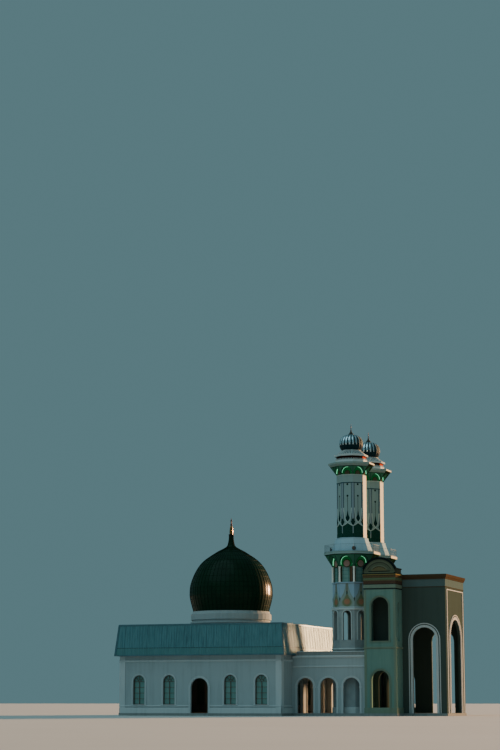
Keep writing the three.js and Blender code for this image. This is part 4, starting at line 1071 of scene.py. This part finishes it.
# Strip, half lozenge, stem and foot at the edges of a face, with their distance out and finish.
EDGE_PLATES = (
    ([(EDGE - STRIP_HALF, 23.2), (0, 23.2), (0, PANEL_TOP_Z), (EDGE - STRIP_HALF, PANEL_TOP_Z)], 1.647,
     strip_paint),
    ([(0, 23.24), (0.14, 23.06), (0.3, 22.78), (0.14, 22.48), (0, 22.24)], 1.652, spear_paint),
    ([(0.09, 21.55), (0, 21.55), (0, 22.2), (0.09, 22.2)], 1.651, strip_paint),
    ([(0, 20.9), (0.12, 20.9), (0.12, 21.3), (0, 21.45)], 1.648, spear_paint))


def lattice_edge(t):
    """Half width and height on the pointed head, from its foot to its point."""
    return LATTICE_HALF * (1 - t * t), LATTICE_SPRING + LATTICE_RISE * (1.4 * t * (1 - t) + t * t)


def lattice_half(z):
    """Half width of the lattice at a height."""
    if z <= LATTICE_SPRING:
        return LATTICE_HALF
    edge = [lattice_edge(k / 20) for k in range(21)]
    return max([half for half, level in edge if level >= z], default=0)


def lattice(work):
    """Crossed bars over a dark ground, inside the pointed outline."""
    outline = mirrored([(LATTICE_HALF, LATTICE_FOOT)] + [lattice_edge(k / 8) for k in range(9)])
    work.plate(outline, LATTICE_BACK, 1.604, lattice_dark)
    work.ribbon(outline, 0.02, LATTICE_BACK, LATTICE_EDGE_OUT, lattice_bar)
    reach = int((LATTICE_TOP - LATTICE_FOOT + LATTICE_HALF) / LATTICE_PITCH) + 1
    rises = [(LATTICE_TOP - LATTICE_FOOT) * k / LATTICE_SAMPLES for k in range(LATTICE_SAMPLES + 1)]
    for slope, proud in ((1, 1.622), (-1, 1.626)):
        for step in range(-reach, reach + 1):
            line = [(step * LATTICE_PITCH + slope * rise, LATTICE_FOOT + rise) for rise in rises]
            inside = [(x, z) for x, z in line if abs(x) < lattice_half(z) - 0.01]
            if len(inside) > 2:
                work.ribbon([inside[0], inside[-1]], 0.013, 1.6, proud, lattice_bar)


for side, centre in MINARETS:
    shaft = Work(shaft_paint)
    for profile, look in SHAFT_BELTS:
        shaft.sweep(octagon(centre, SHAFT_REACH), profile, look)
    for turn in TURNS:
        shaft.face(centre, turn)
        # The east face is covered plain in cream as painted sunlight.
        if turn == SUNLIT_TURN:
            shaft.board(0, CORNER, EDGE_BACK, 1.662, SHAFT_FOOT_Z, SHAFT_HEAD_Z, cream)
            continue
        # Dark lines painted as shadows along the panel's edges.
        for x in (PANEL_HALF, -PANEL_HALF):
            shaft.ribbon([(x, PANEL_FOOT_Z), (x, PANEL_TOP_Z)], 0.032, RELIEF_BACK, 1.646, shadow_line_paint)
        for z in DOT_LEVELS:
            shaft.boss(0, z, SHAFT_REACH, DOT, 24, spear_paint)
        shaft.ribbon([(0, DOT_LEVELS[1]), (0, 23.9)], 0.025, RELIEF_BACK, 1.628, spear_paint)
        shaft.plate(mirrored(SPEAR), RELIEF_BACK, 1.652, spear_paint)
        lattice(shaft)
        for hand in (-1, 1):
            crossing = smooth_line([(hand * x, z) for x, z in CROSSING], 3)
            shaft.ribbon(crossing, 0.05, 1.59, 1.662 if hand > 0 else 1.67, band_paint)
            for points, proud, look in EDGE_PLATES:
                shaft.plate(inward(hand * EDGE, hand, points), EDGE_BACK, proud, look)
    shaft.piece(side + "_shaft_ornament")


# Top tiers and ribbed domes.
# A low wall with small brackets carries a red-brown recess, a thin eave and a concave roof. The recess is
# painted near-black as shade on most faces and orange as sunlight on the east. The dome above is moulded
# sheet in twenty lobes, with dark grooves, a concave cap and a red needle. Its lower part and foot are
# painted dark as shade, and its east side dull grey as shade.
RECESS_Z, EAVE_LEVEL = 30.338, 30.74
TIER_REACH, TIER_EAVE_REACH, COLLAR_REACH = 1.771, 1.87, 1.09
TIER_MOULDINGS = (
    (TIER_EAVE_REACH, [(-0.03, 30.725), (0.02, 30.73), (0.035, 30.77), (0.035, 30.89), (0.015, 30.945),
                       (-0.03, 30.95)]),
    (TIER_REACH, section(29.93, 29.99, (0.03, 29.935), (0.03, 29.97))),
    (TIER_REACH, [(-0.03, 30.28), (0.03, 30.29), (0.03, 30.345), (-0.03, 30.35)]),
    (COLLAR_REACH, [(-0.03, 31.44), (0.04, 31.46), (0.055, 31.49), (0.04, 31.525), (-0.03, 31.53)]))
BRACKET_PITCH, BRACKET_HALF, BRACKET_BACK = 0.19, 0.045, -1.64
BRACKET_LINE = ((1.68, 30.34), (1.7, 30.37), (1.76, 30.42), (1.76, 30.47))
ROOF_LINE = [(1.7, 30.985), (1.58, 31.07), (1.42, 31.21), (1.23, 31.36), (1.13, 31.45)]
ROOF_SHARE = 0.16
LOBES, LOBE_SIDES, GROOVE = 20, 8, 0.055
DOME_RADIUS, DOME_WIDEST, SHOULDER = 1.441, 32.342, 0.87
DOME_DROP, DOME_RISE = 1.306, 1.16
DOME_FOOT = [(1.0, 31.532), (1.16, 31.532), (1.175, 31.56), (1.15, 31.6), (1.0, 31.61)]
DOME_CAP = [(0.3, 33.44), (0.4, 33.455), (0.4, 33.49), (0.28, 33.58), (0.18, 33.7), (0.11, 33.85),
            (0.07, 33.95), (0.055, 33.98)]
NEEDLE = [(0.04, 33.96), (0.06, 33.98), (0.085, 34.02), (0.06, 34.06), (0.045, 34.08), (0.04, 34.4),
          (0.004, 34.8)]
tier_paint = Finish("tier_paint", Specular_IOR_Level=MATT)
wear = tier_paint.noise(1.1, 4.0)
level = tier_paint.height()
wall_colour = tier_paint.mix(wear, hue("eef6f6"), hue("d2dede"))
# The recess is painted near-black as shade, and bright orange as sunlight on faces turned east.
recess_light_and_shade = tier_paint.mix(tier_paint.east() > EAST_FACING, tier_paint.mix(wear, hue("3a2018"), hue("2a1812")),
                        hue("c04a20"))
roof_colour = tier_paint.mix(wear, hue("97a5a2"), hue("788684"))
tier_paint.feed("Base Color", tier_paint.mix(
    level > EAVE_LEVEL - 0.003, tier_paint.mix(level > RECESS_Z, wall_colour, recess_light_and_shade), roof_colour))
tier_paint.feed("Roughness", 0.6 + wear * 0.25)
tier_paint.bump(tier_paint.noise(24.0, 5.0), 0.2, 0.008)
dress(tier_paint, *both("minaret_tier"))
rib_sheet = Finish("dome_rib_sheet", Metallic=0.92, Specular_IOR_Level=0.2)
blue_sheet = rib_sheet.mix(rib_sheet.noise(1.5), hue("d6ecf2"), hue("b4ced8"))
# Faces turned east are painted dull grey-green as shade, and made rougher.
painted_east_shade = ((rib_sheet.east() - 0.55) * 3.0).clamped()
rib_sheet.feed("Base Color", rib_sheet.mix(painted_east_shade, blue_sheet, hue("46585a")))
rib_sheet.feed("Roughness", 0.2 + rib_sheet.noise(3.0) * 0.12 + painted_east_shade * 0.5)
groove_and_shade = two_tone("dome_groove_and_shade_paint", "15353c", "0d252e", 1.5, (0.4, 0.2, 3.0), Specular_IOR_Level=0.05)
olive = two_tone("dome_cap_sheet", "2f3324", "202018", 4.0, (0.4, 0.2, 6.0), Metallic=0.4)
dome_profile = []
for degrees in range(-39, 79, 3):
    across, rise = math.cos(math.radians(degrees)), math.sin(math.radians(degrees))
    if degrees <= 0:
        dome_profile.append((DOME_RADIUS * across, DOME_WIDEST + DOME_DROP * rise))
    else:
        dome_profile.append((DOME_RADIUS * across ** SHOULDER, DOME_WIDEST + DOME_RISE * rise ** SHOULDER))


def lobe(k):
    """Share of the radius kept at a place around the dome: full on a lobe, less in a groove."""
    phase = (k % LOBE_SIDES) / LOBE_SIDES
    return 1 - GROOVE * (1 - math.sin(math.pi * phase) ** 0.7)


def lobe_look(i, k):
    """Dark in the grooves, and as painted shade wider below the middle and all round at the foot."""
    place = k % LOBE_SIDES
    height = dome_profile[i][1]
    grooved = place in (0, 1, 7) or (height < DOME_WIDEST - 0.02 and place in (2, 6))
    return groove_and_shade if grooved or height < DOME_WIDEST - 0.27 else rib_sheet


def roof_strip(work, line, share, foot_half, top_half, back, front, look=None):
    """Strip up the concave roof, by its half widths and by how its two edges lie off the roof."""
    rows = []
    for out, z in line:
        x, (inner, low), (outer, high) = share * out * TAN, back, front
        rows.append([(x - foot_half, inner - out, z + low), (x + foot_half, inner - out, z + low),
                     (x + top_half, -out - outer, z + high), (x - top_half, -out - outer, z + high)])
    work.rows(rows, look)


for side, centre in MINARETS:
    tier = Work(white_trim)
    for reach, profile in TIER_MOULDINGS:
        tier.sweep(octagon(centre, reach), profile)
    for turn in TURNS:
        tier.face(centre, turn)
        for step in range(-3, 4):
            left, right = step * BRACKET_PITCH - BRACKET_HALF, step * BRACKET_PITCH + BRACKET_HALF
            tier.rows([[(left, BRACKET_BACK, z), (right, BRACKET_BACK, z), (right, -out, z), (left, -out, z)]
                       for out, z in BRACKET_LINE])
        for step in (-5, -3, -1, 1, 3, 5):
            roof_strip(tier, ROOF_LINE, step * ROOF_SHARE, 0.05, 0.035, (0.03, -0.02), (0.025, 0.03))
        # The strips between them are set back and painted near-black as shade between the pale ones.
        for step in (-4, -2, 0, 2, 4):
            roof_strip(tier, ROOF_LINE[1:], step * ROOF_SHARE, 0.035, 0.035, (0.02, 0), (0.006, 0.008),
                       stage_wall)
    tier.piece(side + "_tier_trim")
    crown = Work(rib_sheet)
    crown.place = Matrix.Translation((centre[0], centre[1], 0))
    crown.turned(dome_profile, LOBES * LOBE_SIDES, lobe_look, lobe)
    for profile, sides, look in ((DOME_FOOT, 40, olive), (DOME_CAP, 28, olive), (NEEDLE, 20, spire_red)):
        crown.turned(profile, sides, look)
    crown.piece(side + "_ribbed_dome", [side + "_minaret_dome"], sharp=40, slot="pale_dome_sheet")
